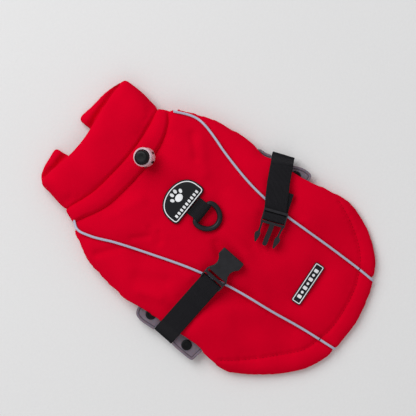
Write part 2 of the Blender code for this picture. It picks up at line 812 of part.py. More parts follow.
def buckle_socket(seat):
    """The hollow half: two strap bars at one end, a waist, and a flared mouth."""
    outline = list(SOCKET_OUTLINE) + [(x, -half) for x, half in reversed(SOCKET_OUTLINE)]
    body = placed("buckle_socket", prism(outline, 0.0, SOCKET_THICK), seat.matrix, "plastic", SOCKET_BEVEL)
    inner = BUCKLE_HALF - RAIL
    upright = seat.matrix @ Matrix.Rotation(math.pi / 2, 4, "X")
    open_slot = box_outline(*OPEN_SLOT, inner - 0.0006)
    mouth = list(MOUTH) + [(x, -y) for x, y in reversed(MOUTH)]
    for name, tool_outline, low, high, matrix in (
        ("cut_strap_slot", STRAP_SLOT, -inner, inner, upright),
        ("cut_open_slot", open_slot, -0.01, 0.02, seat.matrix),
        ("cut_mouth", mouth, *MOUTH_HEIGHTS, seat.matrix),
    ):
        boolean(body, placed(name, prism(tool_outline, low, high), matrix, "plastic"), "DIFFERENCE")


# Plug, in its own frame: (start, finish, underside, top) of each cross bar
PLUG_BARS = (
    ("end_bar", 0.0001, 0.0024, 0.0039, 0.0058),
    ("middle_bar", 0.0054, 0.0086, 0.0022, 0.0040),
    ("root_bar", 0.0114, 0.0138, 0.0008, 0.0056),
)
PLUG_PRONG = (  # (along, inner edge, outer edge) of a side prong
    (0.0124, 0.0089, 0.0108),
    (0.0190, 0.0090, 0.0107),
    (0.0228, 0.0090, 0.0112),
    (0.0250, 0.0078, 0.0136),
    (0.0275, 0.0082, 0.0139),
    (0.0310, 0.0092, 0.0130),
    (0.0342, 0.0104, 0.0120),
)
PRONG_HEIGHTS = (0.0018, 0.0050)
PLUG_GUIDE = ((0.0126, 0.0021), (0.0280, 0.0026), (0.0335, 0.0026), (0.0348, 0.0014))  # (along, half width)
GUIDE_HEIGHTS = (0.0016, 0.0052)
PLUG_RAIL_END = 0.0128
PLUG_RAIL_HEIGHTS = (0.0010, 0.0060)


def buckle_plug(seat):
    """The pronged half: side rails, three cross bars, a centre guide and two barbed side prongs."""
    shapes = []
    for side in (1, -1):
        inner, outer = side * (BUCKLE_HALF - RAIL), side * (BUCKLE_HALF - 0.0001)
        rail = [(0.0, inner), (0.0, outer), (PLUG_RAIL_END, outer), (PLUG_RAIL_END, inner)]
        shapes.append((f"rail_{side}", rail, *PLUG_RAIL_HEIGHTS))
    for name, start, finish, low, high in PLUG_BARS[:2]:
        shapes.append((name, box_outline(start, finish, BUCKLE_HALF - 0.0006), low, high))
    for side in (1, -1):
        prong = [(x, side * inner) for x, inner, _ in PLUG_PRONG]
        prong += [(x, side * outer) for x, _, outer in reversed(PLUG_PRONG)]
        shapes.append((f"prong_{side}", prong, *PRONG_HEIGHTS))
    guide = [(x, -half) for x, half in PLUG_GUIDE] + [(x, half) for x, half in reversed(PLUG_GUIDE)]
    shapes.append(("guide", guide, *GUIDE_HEIGHTS))
    _, start, finish, low, high = PLUG_BARS[2]
    root = prism(box_outline(start, finish, BUCKLE_HALF), low, high)
    body = placed("buckle_plug", root, seat.matrix, "plastic")
    for name, outline, low, high in shapes:
        boolean(body, placed(f"add_{name}", prism(outline, low, high), seat.matrix, "plastic"), "UNION")


def round_band():
    """(along, height) of the strap over a band's edge and back under it, outwards positive."""
    radius = BAND_THICK / 2 + CLEAR + WEB_THICK / 2
    return arc((-0.0004, BAND_MIDDLE), radius, 90, -90, 6) + [(STRAP_RETURN, BAND_MIDDLE - radius)]


def strap(name, skin, seat, plan, near_buckle, turn_in):
    """Webbing from its turn round a buckle bar, over the cloth, to its turn round a side band.

    plan gives the point at a share of the way from the buckle to the fold, near_buckle the (along, height)
    points in the seat's frame, and turn_in how far from the fold the webbing leaves the cloth.
    """
    seat_across = (seat.matrix.to_3x3() @ Vector((0, 1, 0))).normalized()
    points = [seat.point(along, height) for along, height in near_buckle]
    across = [seat_across] * len(points)
    start, end = plan(0.0), plan(1.0)
    total = (end - start).length
    last = points[-1]
    last_flat = last.to_2d()
    covered = (last_flat - start).length
    for i in range(1, STRAP_STEPS + 1):
        out = mix(0.0, total - turn_in, i / STRAP_STEPS)
        share = out / total
        here = plan(share)
        ahead = (plan(min(share + 0.01, 1.0)) - plan(max(share - 0.01, 0.0))).normalized()
        side = Vector((ahead.y, -ahead.x, 0))
        if (here - last_flat).length < 0.004 or (here - start).length < covered:
            continue
        near = (here - ahead * 0.0012, here, here + ahead * 0.0012)
        base = max(skin.highest(spot, side, WEB_WIDTH / 2, 9) for spot in near) + CLEAR + WEB_THICK / 2
        lifted = last.z - skin.highest(last_flat, side, WEB_WIDTH / 2) - CLEAR - WEB_THICK / 2
        settle = ease(1 - (out - covered) / 0.012)
        points.append(Vector((here.x, here.y, base + max(lifted, 0.0) * settle)))
        across.append(side)
    ahead = (end - plan(0.97)).normalized()
    side = Vector((ahead.y, -ahead.x, 0))
    for along, height in round_band():
        spot = end + ahead * (along - STRAP_REACH)
        points.append(Vector((spot.x, spot.y, height)))
        across.append(side)
    across = [a if a.dot(across[0]) > 0 else -a for a in across]
    ribbon(name, framed_path(points, across), WEB_WIDTH, WEB_THICK, "webbing")


def straps_and_buckles(skin):
    """Both halves of the buckle on the back, and the webbing from each to its side band."""
    socket_seat = Seat(skin, SOCKET_START, SOCKET_END, SOCKET_LENGTH, BUCKLE_HALF)
    plug_seat = Seat(skin, PLUG_START, PLUG_ROOT, PLUG_LENGTH, BUCKLE_HALF + 0.002)
    buckle_socket(socket_seat)
    buckle_plug(plug_seat)

    bar_turn = arc((0.0029, 0.0022), 0.0013, -90, 0, 3) + arc((0.0029, 0.0044), 0.0013, 0, 90, 3)
    near_socket = [(-0.0130, 0.0009), (-0.0050, 0.0009)] + bar_turn + [(-0.0010, 0.0056), (-0.0060, 0.0042)]
    near_socket += [(-0.0090, 0.0030), (-0.0135, 0.0027)]

    def left_plan(share):
        return Vector(SOCKET_START).lerp(Vector(LEFT_FOLD), share)

    strap("strap_left", skin, socket_seat, left_plan, near_socket, 0.0105)

    over_bar = arc((0.0089, 0.0020), 0.0011, -90, 0, 3) + arc((0.0089, 0.0042), 0.0011, 0, 90, 3)
    over_bar += arc((0.0052, 0.0041), 0.0012, 90, 170, 3)
    near_plug = [(-0.0180, 0.0009), (-0.0050, 0.0009)] + over_bar + [(0.0028, 0.0029), (0.0000, 0.0027)]
    near_plug += [(-0.0080, 0.0027), (-0.0190, 0.0026)]
    start, end = Vector(PLUG_START), Vector(RIGHT_FOLD)
    first = start + (start - Vector(PLUG_ROOT)).normalized() * 0.016
    last = end - Vector((math.cos(RIGHT_TURN), math.sin(RIGHT_TURN))) * 0.012

    def right_plan(share):
        rest = 1 - share
        return start * rest**3 + first * 3 * share * rest**2 + last * 3 * share**2 * rest + end * share**3

    strap("strap_right", skin, plug_seat, right_plan, near_plug, 0.0095)


def bands():
    """Flat side bands with round ends, notched where the strap turns round them."""
    half_width, notch_half = BAND_WIDTH / 2, WEB_WIDTH / 2 + NOTCH_EXTRA
    for side, x, y, length, turn, notch in BANDS:
        out = -1 if side == "left" else 1
        half_length = length / 2
        corner_x, corner_y = half_width - BAND_CORNER, half_length - BAND_CORNER
        outline = arc((corner_x, corner_y), BAND_CORNER, 90, 0, 6)
        outline += [
            (half_width, notch + notch_half),
            (half_width - NOTCH_DEPTH, notch + notch_half - NOTCH_SLOPE),
            (half_width - NOTCH_DEPTH, notch - notch_half + NOTCH_SLOPE),
            (half_width, notch - notch_half),
        ]
        outline += arc((corner_x, -corner_y), BAND_CORNER, 0, -90, 6)
        outline += [(-half_width, -half_length), (-half_width, half_length)]
        outline = [(out * u, v) for u, v in outline]
        place = Matrix.Translation((x, y, BAND_MIDDLE - BAND_THICK / 2))
        lean = math.radians(-turn if side == "left" else turn)
        placed(f"band_{side}", prism(outline, 0.0, BAND_THICK), place @ Matrix.Rotation(lean, 4, "Z"), "band")
    for name, x, y in SNAPS:
        cap = bmesh.new()
        top_radius = SNAP_RADIUS - SNAP_CHAMFER
        bmesh.ops.create_cone(
            cap, cap_ends=True, segments=24, radius1=SNAP_RADIUS, radius2=top_radius, depth=SNAP_THICK
        )
        height = BAND_MIDDLE + BAND_THICK / 2 + SEAM + SNAP_THICK / 2
        placed(f"snap_{name}", cap, Matrix.Translation((x, y, height)), "plastic")


def plaque(name, skin, outline, centre, turn, thick, shares):
    """A plate that follows the cloth: rings of one outline, each a share of its size."""
    place = Matrix.Translation((*centre, 0)) @ Matrix.Rotation(math.radians(turn), 4, "Z")
    mesh_data = bmesh.new()
    rings = []
    for share, drop in shares:
        lower, upper = [], []
        for u, v in outline:
            spot = place @ Vector((u * share, v * share, 0))
            base = skin.height(spot.x, spot.y) + CLEAR + 0.0001
            lower.append(mesh_data.verts.new((spot.x, spot.y, base)))
            upper.append(mesh_data.verts.new((spot.x, spot.y, base + thick - drop)))
        rings.append((lower, upper))
    count = len(outline)
    for inner, outer in zip(rings, rings[1:]):
        for i in range(count):
            j = (i + 1) % count
            mesh_data.faces.new((inner[1][i], inner[1][j], outer[1][j], outer[1][i]))
            mesh_data.faces.new((inner[0][j], inner[0][i], outer[0][i], outer[0][j]))
    lower, upper = rings[-1]
    for i in range(count):
        j = (i + 1) % count
        mesh_data.faces.new((lower[i], upper[i], upper[j], lower[j]))
    mesh_data.faces.new(rings[0][1])
    mesh_data.faces.new(rings[0][0])
    new_object(name, mesh_data, "rubber")


def arch_outline(width, height, corner, steps=18):
    """A straight base with small round corners under a half round top."""
    points = []
    for i in range(steps + 1):
        angle = math.pi * i / steps
        points.append((width / 2 * math.cos(angle), height * (0.72 * math.sin(angle) ** 0.8 - 0.22)))
    low, half = -height / 2, width / 2
    cut = 0.3 * corner
    points += [(-half, low + corner), (cut - half, low + cut), (corner - half, low)]
    points += [(-half / 2, low), (0, low), (half / 2, low)]
    points += [(half - corner, low), (half - cut, low + cut), (half, low + corner)]
    return points


def rounded_box(width, height, corner, steps=4):
    points = []
    for sx, sy, start in ((1, 1, 0), (-1, 1, 90), (-1, -1, 180), (1, -1, 270)):
        for i in range(steps + 1):
            angle = math.radians(start + 90 * i / steps)
            points.append((sx * (width / 2 - corner) + corner * math.cos(angle),
                           sy * (height / 2 - corner) + corner * math.sin(angle)))
        if sx == sy:
            points += [(sx * (width / 2 - corner) * f, sy * height / 2) for f in (0.5, 0.0, -0.5)]
    return points


def closed_wire(name, path, radius, sides, finish, matrix):
    """A round wire along a closed flat path of (x, y) points."""
    mesh_data = bmesh.new()
    rings = []
    count = len(path)
    points = [Vector((*point, 0)) for point in path]
    up = Vector((0, 0, 1))
    for i, point in enumerate(points):
        across = (points[(i + 1) % count] - points[i - 1]).normalized().cross(up)
        rings.append([
            mesh_data.verts.new(point + (across * math.cos(a) + up * math.sin(a)) * radius)
            for a in (2 * math.pi * k / sides for k in range(sides))
        ])
    for i, first in enumerate(rings):
        second = rings[(i + 1) % count]
        for k in range(sides):
            mesh_data.faces.new((first[k], first[(k + 1) % sides], second[(k + 1) % sides], second[k]))
    new_object(name, mesh_data, finish, True, matrix)


def smooth_route(points, count):
    """Points at equal steps along a smooth curve through these."""
    travelled = [0.0]
    for before, after in zip(points, points[1:]):
        travelled.append(travelled[-1] + (after - before).length)
    read = [smooth([(t, point[axis]) for t, point in zip(travelled, points)]) for axis in range(3)]
    return [Vector([at(t) for at in read]) for t in np.linspace(0, travelled[-1], count)]


def cord(name, route, radius, finish, location):
    """A round cord with filled ends along points, its origin at location."""
    curve = bpy.data.curves.new(name, "CURVE")
    curve.dimensions = "3D"
    curve.bevel_depth = radius
    curve.bevel_resolution = 2
    curve.use_fill_caps = True
    spline = curve.splines.new("POLY")
    spline.points.add(len(route) - 1)
    for knot, point in zip(spline.points, route):
        knot.co = (*(point - location), 1.0)
    curve.materials.append(material(finish))
    made = bpy.data.objects.new(name, curve)
    made.location = location
    bpy.context.scene.collection.objects.link(made)


def ring_and_loop(skin):
    """The D-ring on the back, its straight bar in a webbing loop that comes out from under the badge."""
    turn = Matrix.Rotation(math.radians(RING_TURN), 4, "Z")
    centre = Vector((*RING_CENTRE, 0))

    def spot(u, v):
        return centre + turn @ Vector((u, v, 0))

    wrap = RING_WIRE + 0.0004 + WEB_THICK / 2
    across = turn @ Vector((1, 0, 0))
    floor = max(skin.highest(spot(0, v), across, WEB_WIDTH / 2) for v in (-0.003, 0, 0.004, LOOP_LENGTH))
    bar_height = floor + CLEAR + WEB_THICK / 2 + wrap
    low = bar_height - wrap
    ply = low + LOOP_PLY
    side_view = [(LOOP_LENGTH, low), (0.004, low)] + arc((0, bar_height), wrap, 270, 90, 10)
    side_view += [(0.0030, bar_height + wrap - 0.0006), (0.0062, ply + 0.0004), (LOOP_LENGTH, ply)]
    points = []
    for v, z in side_view:
        here = spot(0, v)
        points.append(Vector((here.x, here.y, z)))
    ribbon("ring_loop", framed_path(points, [across] * len(points)), LOOP_WIDTH, WEB_THICK, "webbing")

    far = spot(0, -RING_DEPTH)
    drop = bar_height - (skin.highest(far, across, 0.008) + RING_WIRE + CLEAR)
    tilt = math.asin(min(max(drop / RING_DEPTH, 0.0), 0.35))
    bar_end, corner = RING_HALF - 0.0035, RING_HALF - 0.0010
    flat = [(u, 0.0) for u in np.linspace(-bar_end, bar_end, 5)] + [(corner, -0.0011)]
    for i in range(15):
        angle = math.pi * i / 14
        flat.append((RING_HALF * math.cos(angle), -RING_SIDE - (RING_DEPTH - RING_SIDE) * math.sin(angle)))
    flat += [(-corner, -0.0011)]
    bar = Matrix.Translation((centre.x, centre.y, bar_height)) @ turn @ Matrix.Rotation(tilt, 4, "X")
    closed_wire("d_ring", flat, RING_WIRE, 10, "plastic", bar)


def turned(name, profile, matrix, finish, sides=32):
    """A solid of revolution from (radius, height) points that start and end on its own z axis."""
    mesh_data = bmesh.new()
    chain = [mesh_data.verts.new((radius, 0, height)) for radius, height in profile]
    edges = [mesh_data.edges.new(pair) for pair in zip(chain, chain[1:])]
    bmesh.ops.spin(
        mesh_data, geom=chain + edges, axis=(0, 0, 1), cent=(0, 0, 0), angle=2 * math.pi, steps=sides,
        use_merge=True,
    )
    bmesh.ops.remove_doubles(mesh_data, verts=mesh_data.verts, dist=1e-6)
    return new_object(name, mesh_data, finish, True, matrix)


def cord_lock(skin):
    """A barrel leaning over the neck band, a push button in its top, and the cord through its foot."""
    lean = Vector((LOCK_LEAN[0], LOCK_LEAN[1], 0)).normalized()
    axis = Vector((0, 0, 1)) * math.cos(math.radians(LOCK_TILT)) + lean * math.sin(math.radians(LOCK_TILT))
    across = Vector((0, 0, 1)).cross(lean).normalized()
    forward = across.cross(axis)
    foot = Vector((*LOCK_FOOT, 0))
    clear = -1.0
    for i in range(24):
        angle = 2 * math.pi * i / 24
        for radius in (LOCK_RADIUS - 0.001, LOCK_RADIUS / 2):
            rim = foot + (across * math.cos(angle) + forward * math.sin(angle)) * radius
            clear = max(clear, skin.height(rim.x, rim.y) - rim.z)
    foot.z = clear + CLEAR
    matrix = Matrix.Translation(foot) @ Matrix((across, forward, axis)).transposed().to_4x4()
    soft = 0.0016
    barrel = [
        (0, 0),
        (LOCK_RADIUS - soft, 0),
        (LOCK_RADIUS, soft),
        (LOCK_RADIUS, LOCK_HEIGHT - soft),
        (LOCK_RADIUS - soft / 2, LOCK_HEIGHT),
        (BORE_RADIUS, LOCK_HEIGHT),
        (BORE_RADIUS, BORE_FLOOR),
        (0, BORE_FLOOR),
    ]
    body = turned("lock_body", barrel, matrix, "clear")
    hole = bmesh.new()
    bmesh.ops.create_cone(hole, cap_ends=True, segments=16, radius1=CORD_HOLE, radius2=CORD_HOLE, depth=0.04)
    along_x = Matrix.Translation((0, 0, CORD_HEIGHT)) @ Matrix.Rotation(math.pi / 2, 4, "Y")
    boolean(body, placed("cut_cord_hole", hole, matrix @ along_x, "clear"), "DIFFERENCE")
    top = BUTTON_FOOT + BUTTON_HEIGHT
    button = [
        (0, BUTTON_FOOT),
        (BUTTON_RADIUS, BUTTON_FOOT),
        (BUTTON_RADIUS, top - BUTTON_CHAMFER),
        (BUTTON_RADIUS - BUTTON_CHAMFER, top),
        (0, top),
    ]
    turned("lock_button", button, matrix, "plastic")
    reach = LOCK_RADIUS + 0.0026
    half_route = [(-reach, -0.0006), (-reach, 0.0012), (0.0010 - reach, 0.0026), (0.0030 - reach, CORD_HEIGHT)]
    half_route += [(-reach / 3, CORD_HEIGHT), (0.0, CORD_HEIGHT)]
    both = half_route + [(-x, z) for x, z in reversed(half_route[:-1])]
    route = [matrix @ Vector((x, 0, z)) for x, z in both]
    for end in (route[0], route[-1]):
        end.z = max(end.z, skin.height(end.x, end.y) + CLEAR + 0.0009)
    cord("drawcord", smooth_route(route, 21), CORD_RADIUS, "webbing", foot)


def clear_scene():
    for item in list(bpy.data.objects):
        bpy.data.objects.remove(item)


def main():
    clear_scene()
    cloth = [back_panel(), *side_panels(), neck_band(), collar()]
    skin = Skin(cloth + pipings(Skin(cloth)))
    chest_panel()
    bands()
    straps_and_buckles(skin)
    badge_outline = arch_outline(BADGE_WIDTH, BADGE_HEIGHT, BADGE_CORNER)
    plaque("badge", skin, badge_outline, BADGE_CENTRE, BADGE_TURN, BADGE_THICK, BADGE_RINGS)
    plaque("label", skin, rounded_box(*LABEL_SIZE, LABEL_CORNER), LABEL_CENTRE, 0.0, LABEL_THICK, LABEL_RINGS)
    ring_and_loop(skin)
    cord_lock(skin)


main()
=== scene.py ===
"""Padded winter vest for a dog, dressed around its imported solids.

Metres, in the solids' frame: +X is the wearer's right, +Y points to the neck and +Z up.
"""

import json
import math
from collections import deque

import bmesh
import bpy
import numpy as np
from bpy.props import FloatProperty, FloatVectorProperty, IntProperty, PointerProperty
from mathutils import Matrix, Vector
from mathutils.bvhtree import BVHTree

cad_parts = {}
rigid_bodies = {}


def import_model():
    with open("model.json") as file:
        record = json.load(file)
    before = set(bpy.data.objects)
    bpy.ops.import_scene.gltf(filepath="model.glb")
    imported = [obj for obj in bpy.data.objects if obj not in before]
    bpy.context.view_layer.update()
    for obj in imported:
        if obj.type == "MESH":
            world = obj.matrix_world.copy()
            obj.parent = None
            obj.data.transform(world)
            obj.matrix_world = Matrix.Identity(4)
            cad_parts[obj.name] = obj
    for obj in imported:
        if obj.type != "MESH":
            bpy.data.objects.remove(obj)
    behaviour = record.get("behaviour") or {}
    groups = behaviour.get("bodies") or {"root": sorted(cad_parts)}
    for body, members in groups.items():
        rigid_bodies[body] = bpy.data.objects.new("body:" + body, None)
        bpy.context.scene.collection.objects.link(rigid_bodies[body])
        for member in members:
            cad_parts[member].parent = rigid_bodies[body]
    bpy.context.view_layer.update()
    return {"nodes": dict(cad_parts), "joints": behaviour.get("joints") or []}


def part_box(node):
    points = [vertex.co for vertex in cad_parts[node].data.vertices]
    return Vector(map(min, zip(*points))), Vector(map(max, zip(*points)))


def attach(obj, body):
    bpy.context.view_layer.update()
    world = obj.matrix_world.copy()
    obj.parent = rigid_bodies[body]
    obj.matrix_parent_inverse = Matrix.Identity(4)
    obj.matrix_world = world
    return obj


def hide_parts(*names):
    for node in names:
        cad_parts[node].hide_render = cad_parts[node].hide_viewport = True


bl_info = {
    "name": "Padded Dog Vest",
    "version": (1, 0, 0),
    "blender": (4, 5, 0),
    "location": "3D View > Sidebar > Dog Vest",
    "description": "Dresses the packed solids of a padded dog vest with cloth, webbing and moulded parts",
    "category": "Object",
}

for leftover in list(bpy.data.objects):
    bpy.data.objects.remove(leftover)
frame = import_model()
GARMENT = "garment"
UP = Vector((0, 0, 1))
# Directions on the surface that point right and up in the photograph
PHOTO_RIGHT = Vector((0.556, -0.831, 0))
PHOTO_UP = Vector((0.831, 0.556, 0))

# The hem's stitching seen from above, from the left fold to the right one: (across, along)
HEM_STITCHING = (
    (-0.1027, -0.0740), (-0.0965, -0.0838), (-0.0834, -0.1005), (-0.0681, -0.1174), (-0.0515, -0.1334),
    (-0.0360, -0.1394), (-0.0232, -0.1431), (-0.0067, -0.1438), (0.0100, -0.1426), (0.0257, -0.1394),
    (0.0456, -0.1300), (0.0586, -0.1176), (0.0690, -0.1030), (0.0788, -0.0839),
)

# Seams across the neck: (across, along)
BODY_SEAM = (
    (-0.0725, 0.1046), (-0.0659, 0.1025), (-0.0476, 0.0912), (-0.0273, 0.0850),
    (0.0003, 0.0798), (0.0337, 0.0798), (0.0523, 0.0853), (0.0600, 0.0908),
)
COLLAR_SEAM = (
    (-0.0670, 0.1185), (-0.0639, 0.1171), (-0.0284, 0.1041), (0.0052, 0.0975),
    (0.0170, 0.0965), (0.0542, 0.0991), (0.0570, 0.0998),
)
# Leg openings: (across, along, width, length, turn in degrees)
LEG_OPENINGS = {
    "left": (-0.0600, 0.0420, 0.0380, 0.0640, 6.0),
    "right": (0.0400, 0.0390, 0.0360, 0.0600, -6.0),
}

# Where the filling carries the cloth past its solid: (across, along, move across, move along, reach)
FULLER = (
    (0.0760, 0.0180, 0.0008, 0.0000, 0.030), (0.0700, -0.1150, 0.0016, -0.0006, 0.020),
    (-0.0900, 0.0780, -0.0026, 0.0006, 0.016), (-0.0980, 0.0400, -0.0006, 0.0000, 0.030),
    (-0.1040, -0.0760, -0.0010, -0.0004, 0.013), (-0.0270, 0.1520, -0.0026, 0.0010, 0.009),
    (0.0115, 0.1500, -0.0008, 0.0016, 0.010), (0.0600, 0.0895, 0.0008, 0.0008, 0.007),
    (0.0590, 0.1200, 0.0012, 0.0000, 0.012), (-0.0530, 0.1510, -0.0008, 0.0006, 0.012),
    (0.0530, -0.1370, 0.0018, -0.0026, 0.018), (-0.0060, -0.1560, 0.0000, -0.0016, 0.014),
    (-0.0860, -0.1230, 0.0005, 0.0004, 0.030), (0.0780, -0.0640, 0.0020, 0.0000, 0.016),
    (0.0740, 0.0500, 0.0016, 0.0004, 0.026), (0.0440, 0.1460, 0.0004, 0.0012, 0.014),
    (-0.1020, 0.0250, -0.0018, 0.0000, 0.013), (-0.0750, 0.0990, -0.0024, 0.0017, 0.010),
    (-0.0630, 0.1370, 0.0010, 0.0000, 0.010), (-0.1000, -0.0060, 0.0020, 0.0000, 0.009),
    (0.0760, -0.0040, -0.0036, 0.0000, 0.010), (0.0680, -0.1215, 0.0008, -0.0010, 0.012),
    (-0.1050, -0.0650, -0.0018, 0.0000, 0.012), (-0.0980, 0.0500, -0.0014, 0.0000, 0.014),
    (0.0487, 0.0008, 0.0010, 0.0000, 0.020), (-0.0400, 0.1060, -0.0003, -0.0014, 0.018),
    (0.0400, -0.0600, -0.0014, 0.0000, 0.038), (0.0365, -0.1350, -0.0014, 0.0000, 0.038),
    (-0.0400, -0.0750, 0.0011, 0.0000, 0.028),
)
# Soft folds and dents of the back: (from across, along, to across, along, width, rise)
FOLDS = (
    (0.0543, 0.0595, 0.0389, 0.0449, 0.0035, -0.0008),
    (0.0519, 0.0500, 0.0318, 0.0310, 0.0050, 0.0006),
    (0.0385, 0.0716, 0.0406, 0.0555, 0.0060, 0.0006),
    (0.0378, 0.0351, 0.0275, 0.0096, 0.0060, -0.0006),
    (-0.0540, 0.0527, -0.0453, 0.0426, 0.0026, -0.0006),
    (-0.0376, 0.0448, -0.0448, 0.0312, 0.0026, -0.0005),
    (-0.0368, 0.0355, -0.0418, 0.0299, 0.0020, -0.0005),
    (-0.0843, 0.0721, -0.0691, 0.0585, 0.0030, -0.0009),
    (-0.0814, 0.0286, -0.0710, 0.0069, 0.0060, -0.0010),
    (-0.0909, 0.0200, -0.0854, 0.0019, 0.0040, 0.0007),
    (-0.0155, -0.0126, -0.0226, -0.0217, 0.0035, -0.0009),
    (-0.0027, -0.0106, -0.0087, -0.0409, 0.0060, 0.0008),
    (0.0064, -0.0111, 0.0019, -0.0403, 0.0050, -0.0006),
    (-0.0429, -0.0485, -0.0414, -0.0671, 0.0070, -0.0008),
    (-0.0555, -0.0460, -0.0409, -0.0613, 0.0060, -0.0007),
    (-0.0631, -0.0707, -0.0438, -0.1125, 0.0090, -0.0008),
    (0.0574, -0.0448, 0.0481, -0.0619, 0.0050, -0.0008),
    (0.0024, -0.0509, -0.0288, -0.0860, 0.0100, -0.0007),
    (-0.0088, 0.0640, -0.0227, 0.0438, 0.0080, -0.0006),
    (-0.0479, 0.0816, -0.0215, 0.0665, 0.0050, 0.0006),
)
# Side bands seen from above: the free edge before the strap, the notch, the free edge behind it, and how far
# across the hidden side lies
BANDS = {
    "left": (
        ((-0.0980, 0.0137), (-0.1050, 0.0138), (-0.1099, 0.0116), (-0.1121, 0.0070), (-0.1128, 0.0010),
         (-0.1126, -0.0092)),
        ((-0.1089, -0.0092), (-0.1114, -0.0302)),
        ((-0.1143, -0.0302), (-0.1155, -0.0365), (-0.1166, -0.0472), (-0.1162, -0.0536), (-0.1100, -0.0556),
         (-0.1000, -0.0580)),
        -0.0910,
    ),
    "right": (
        ((0.0700, 0.0062), (0.0748, 0.0048), (0.0778, 0.0012), (0.0780, -0.0045), (0.0790, -0.0093)),
        ((0.0785, -0.0100), (0.0803, -0.0290)),
        ((0.0812, -0.0306), (0.0824, -0.0328), (0.0847, -0.0391), (0.0853, -0.0455), (0.0838, -0.0505),
         (0.0795, -0.0518), (0.0740, -0.0510)),
        0.0620,
    ),
}
# How far each piping passes its solid at its front end, or is hidden there when below zero, and at the hem
PIPING_ENDS = {"left": (0.0035, 0.0012), "right": (-0.0035, 0.0010)}
PIPING_MARK = 0.0172  # from a piping's end to the seam across it
PIPING_SIZE = (0.0022, 0.0013, 0.0005)  # width, thickness and round of the edges
MARK_HALF = 0.0016
MARK_THICK = 0.0009
DARK_THREAD = (0.03, 0.01, 0.02)
# The collar's open edge on the back, seen from above
COLLAR_MOUTH = (
    (-0.0620, 0.1450), (-0.0550, 0.1485), (-0.0500, 0.1490), (-0.0450, 0.1485), (-0.0400, 0.1465),
    (-0.0300, 0.1450), (-0.0100, 0.1410), (0.0100, 0.1392), (0.0300, 0.1410), (0.0550, 0.1400),
)

COLLAR_UNDER_LAYER = (0.0035, 0.0105)  # heights between which the collar's front ends lie
MOUTH_DEPTH = 0.0050
MOUTH_SPREAD = 0.0048

# Puckers beside each seam: (share of the fabric's pucker, how far they reach, from one to the next)
PUCKERS = {
    "hem": (1.0, 0.0045, 0.0062),
    "neck": (1.3, 0.0050, 0.0075),
    "piping": (0.6, 0.0050, 0.0085),
    "casing": (1.2, 0.0040, 0.0070),
    "collar": (1.2, 0.0040, 0.0062),
}
# Furrows along a line: (distance to its side, share of the fabric's furrow, half width, unevenness)
FURROWS = {
    "hem": (0.0, 1.4, 0.0017, 0.1),
    "strap": (0.0112, 1.1, 0.0042, 0.25),
}
# Broad waves of the filling: (direction in degrees, length, start of the wave, share of the height)
WAVES = ((37, 0.047, 1.3, 1.0), (-60, 0.033, 4.1, 0.6), (79, 0.061, 2.2, 0.9))
CREASE_HALF = 0.0008
CREASE_REACH = 0.0030
TOUCHING = 0.0006  # pieces nearer than this hold each other
BODY_HOLD = 0.0065  # how far from its neighbours the cloth is still held
NECK_HOLD = 0.0030
BINDING_SIZE = (0.0030, 0.0074, 0.0013)  # width, height and round of a leg opening's binding
BINDING_INSET = 0.0018
BINDING_MIDDLE = 0.0038
SEAM_REACH = 0.0050  # panels nearer than this are drawn into one seam

STRAP_WIDTH = 0.0208
LOOP_WIDTH = 0.0184
WEBBING_THICK = 0.0015
WEBBING_ROUND = 0.0006
# Rings of the right strap: two left out at its bend, and those that are moved aside on the way to the plug
STRAP_LEFT_OUT = (18, 19)
STRAP_MOVED = slice(9, 18)
STRAP_ASIDE = 0.0016
STRAP_LAST_ASIDE = 0.0008
TAIL_ASIDE = 0.0011
RING_PLUMP = 0.00045  # how much thicker the ring's wire is than its solid's flat sides
SOFTEN_ANGLE = 30.0  # edges sharper than this, in degrees, are rounded

PLUG_START = Vector((0.0394, -0.0416, 0))
PLUG_AHEAD = Vector((-0.9504, -0.3109, 0))
PLUG_PRONGS = 0.0124  # from the plug's first bar to where its prongs start
PRONG_LENGTH = 0.0218
PRONG_SQUEEZE = 0.22  # share by which the prongs' tips draw together
PRONG_ASIDE = 0.0024
PRONG_BACK = 0.0012
PRONG_SLANT = 0.083

BADGE_MIDDLE = (-0.0002, 0.0371)
BADGE_TURN = -5.0
BADGE_SIZE = (0.0420, 0.0260, 0.0035)  # width, height and corner
LABEL_SIZE = (0.0420, 0.0100, 0.0022)
RELIEF_ROUND = 0.00012
# Toes of the paw mark: (across, up, turn in degrees)
TOES = ((-0.0058, 0.0040, 25), (-0.0022, 0.0074, 8), (0.0022, 0.0074, -8), (0.0058, 0.0040, -25))
BARS = 9
BAR_PITCH = 0.0036
BAR_DROP = 0.0080  # from the badge's middle down to the row of bars
LABEL_MARKS = 7
MARK_PITCH = 0.0046

LOCK_LEAN = -PHOTO_RIGHT.normalized()
BUTTON_FOOT = 0.0090  # from the barrel's foot to the button's
BUTTON_HEIGHT = 0.0090
BUTTON_RADIUS = 0.0067
RIB_OUT = 0.0079  # from the barrel's axis to the rib and slots on its side
SLOT_ASIDE = 0.0041
CORD_REACH = 0.0092
CORD_SIZE = (0.0028, 0.0028, 0.00139)

KEY_LIGHT = ((0.35, 1.70, 1.70), 1.8)  # place and side
FILL_LIGHT = ((-1.3, -0.9, 1.6), 1.6)
FILL_SHARE = 0.10
VIEW_MIDDLE = (0.0069, 0.0111)
VEST_MIDDLE_HEIGHT = 0.015
SENSOR = 36.0


def size_property(name, description, default):
    return FloatProperty(name=name, description=description, unit="LENGTH", default=default)


def colour_property(name, description, default):
    return FloatVectorProperty(name=name, description=description, subtype="COLOR", size=3, default=default)


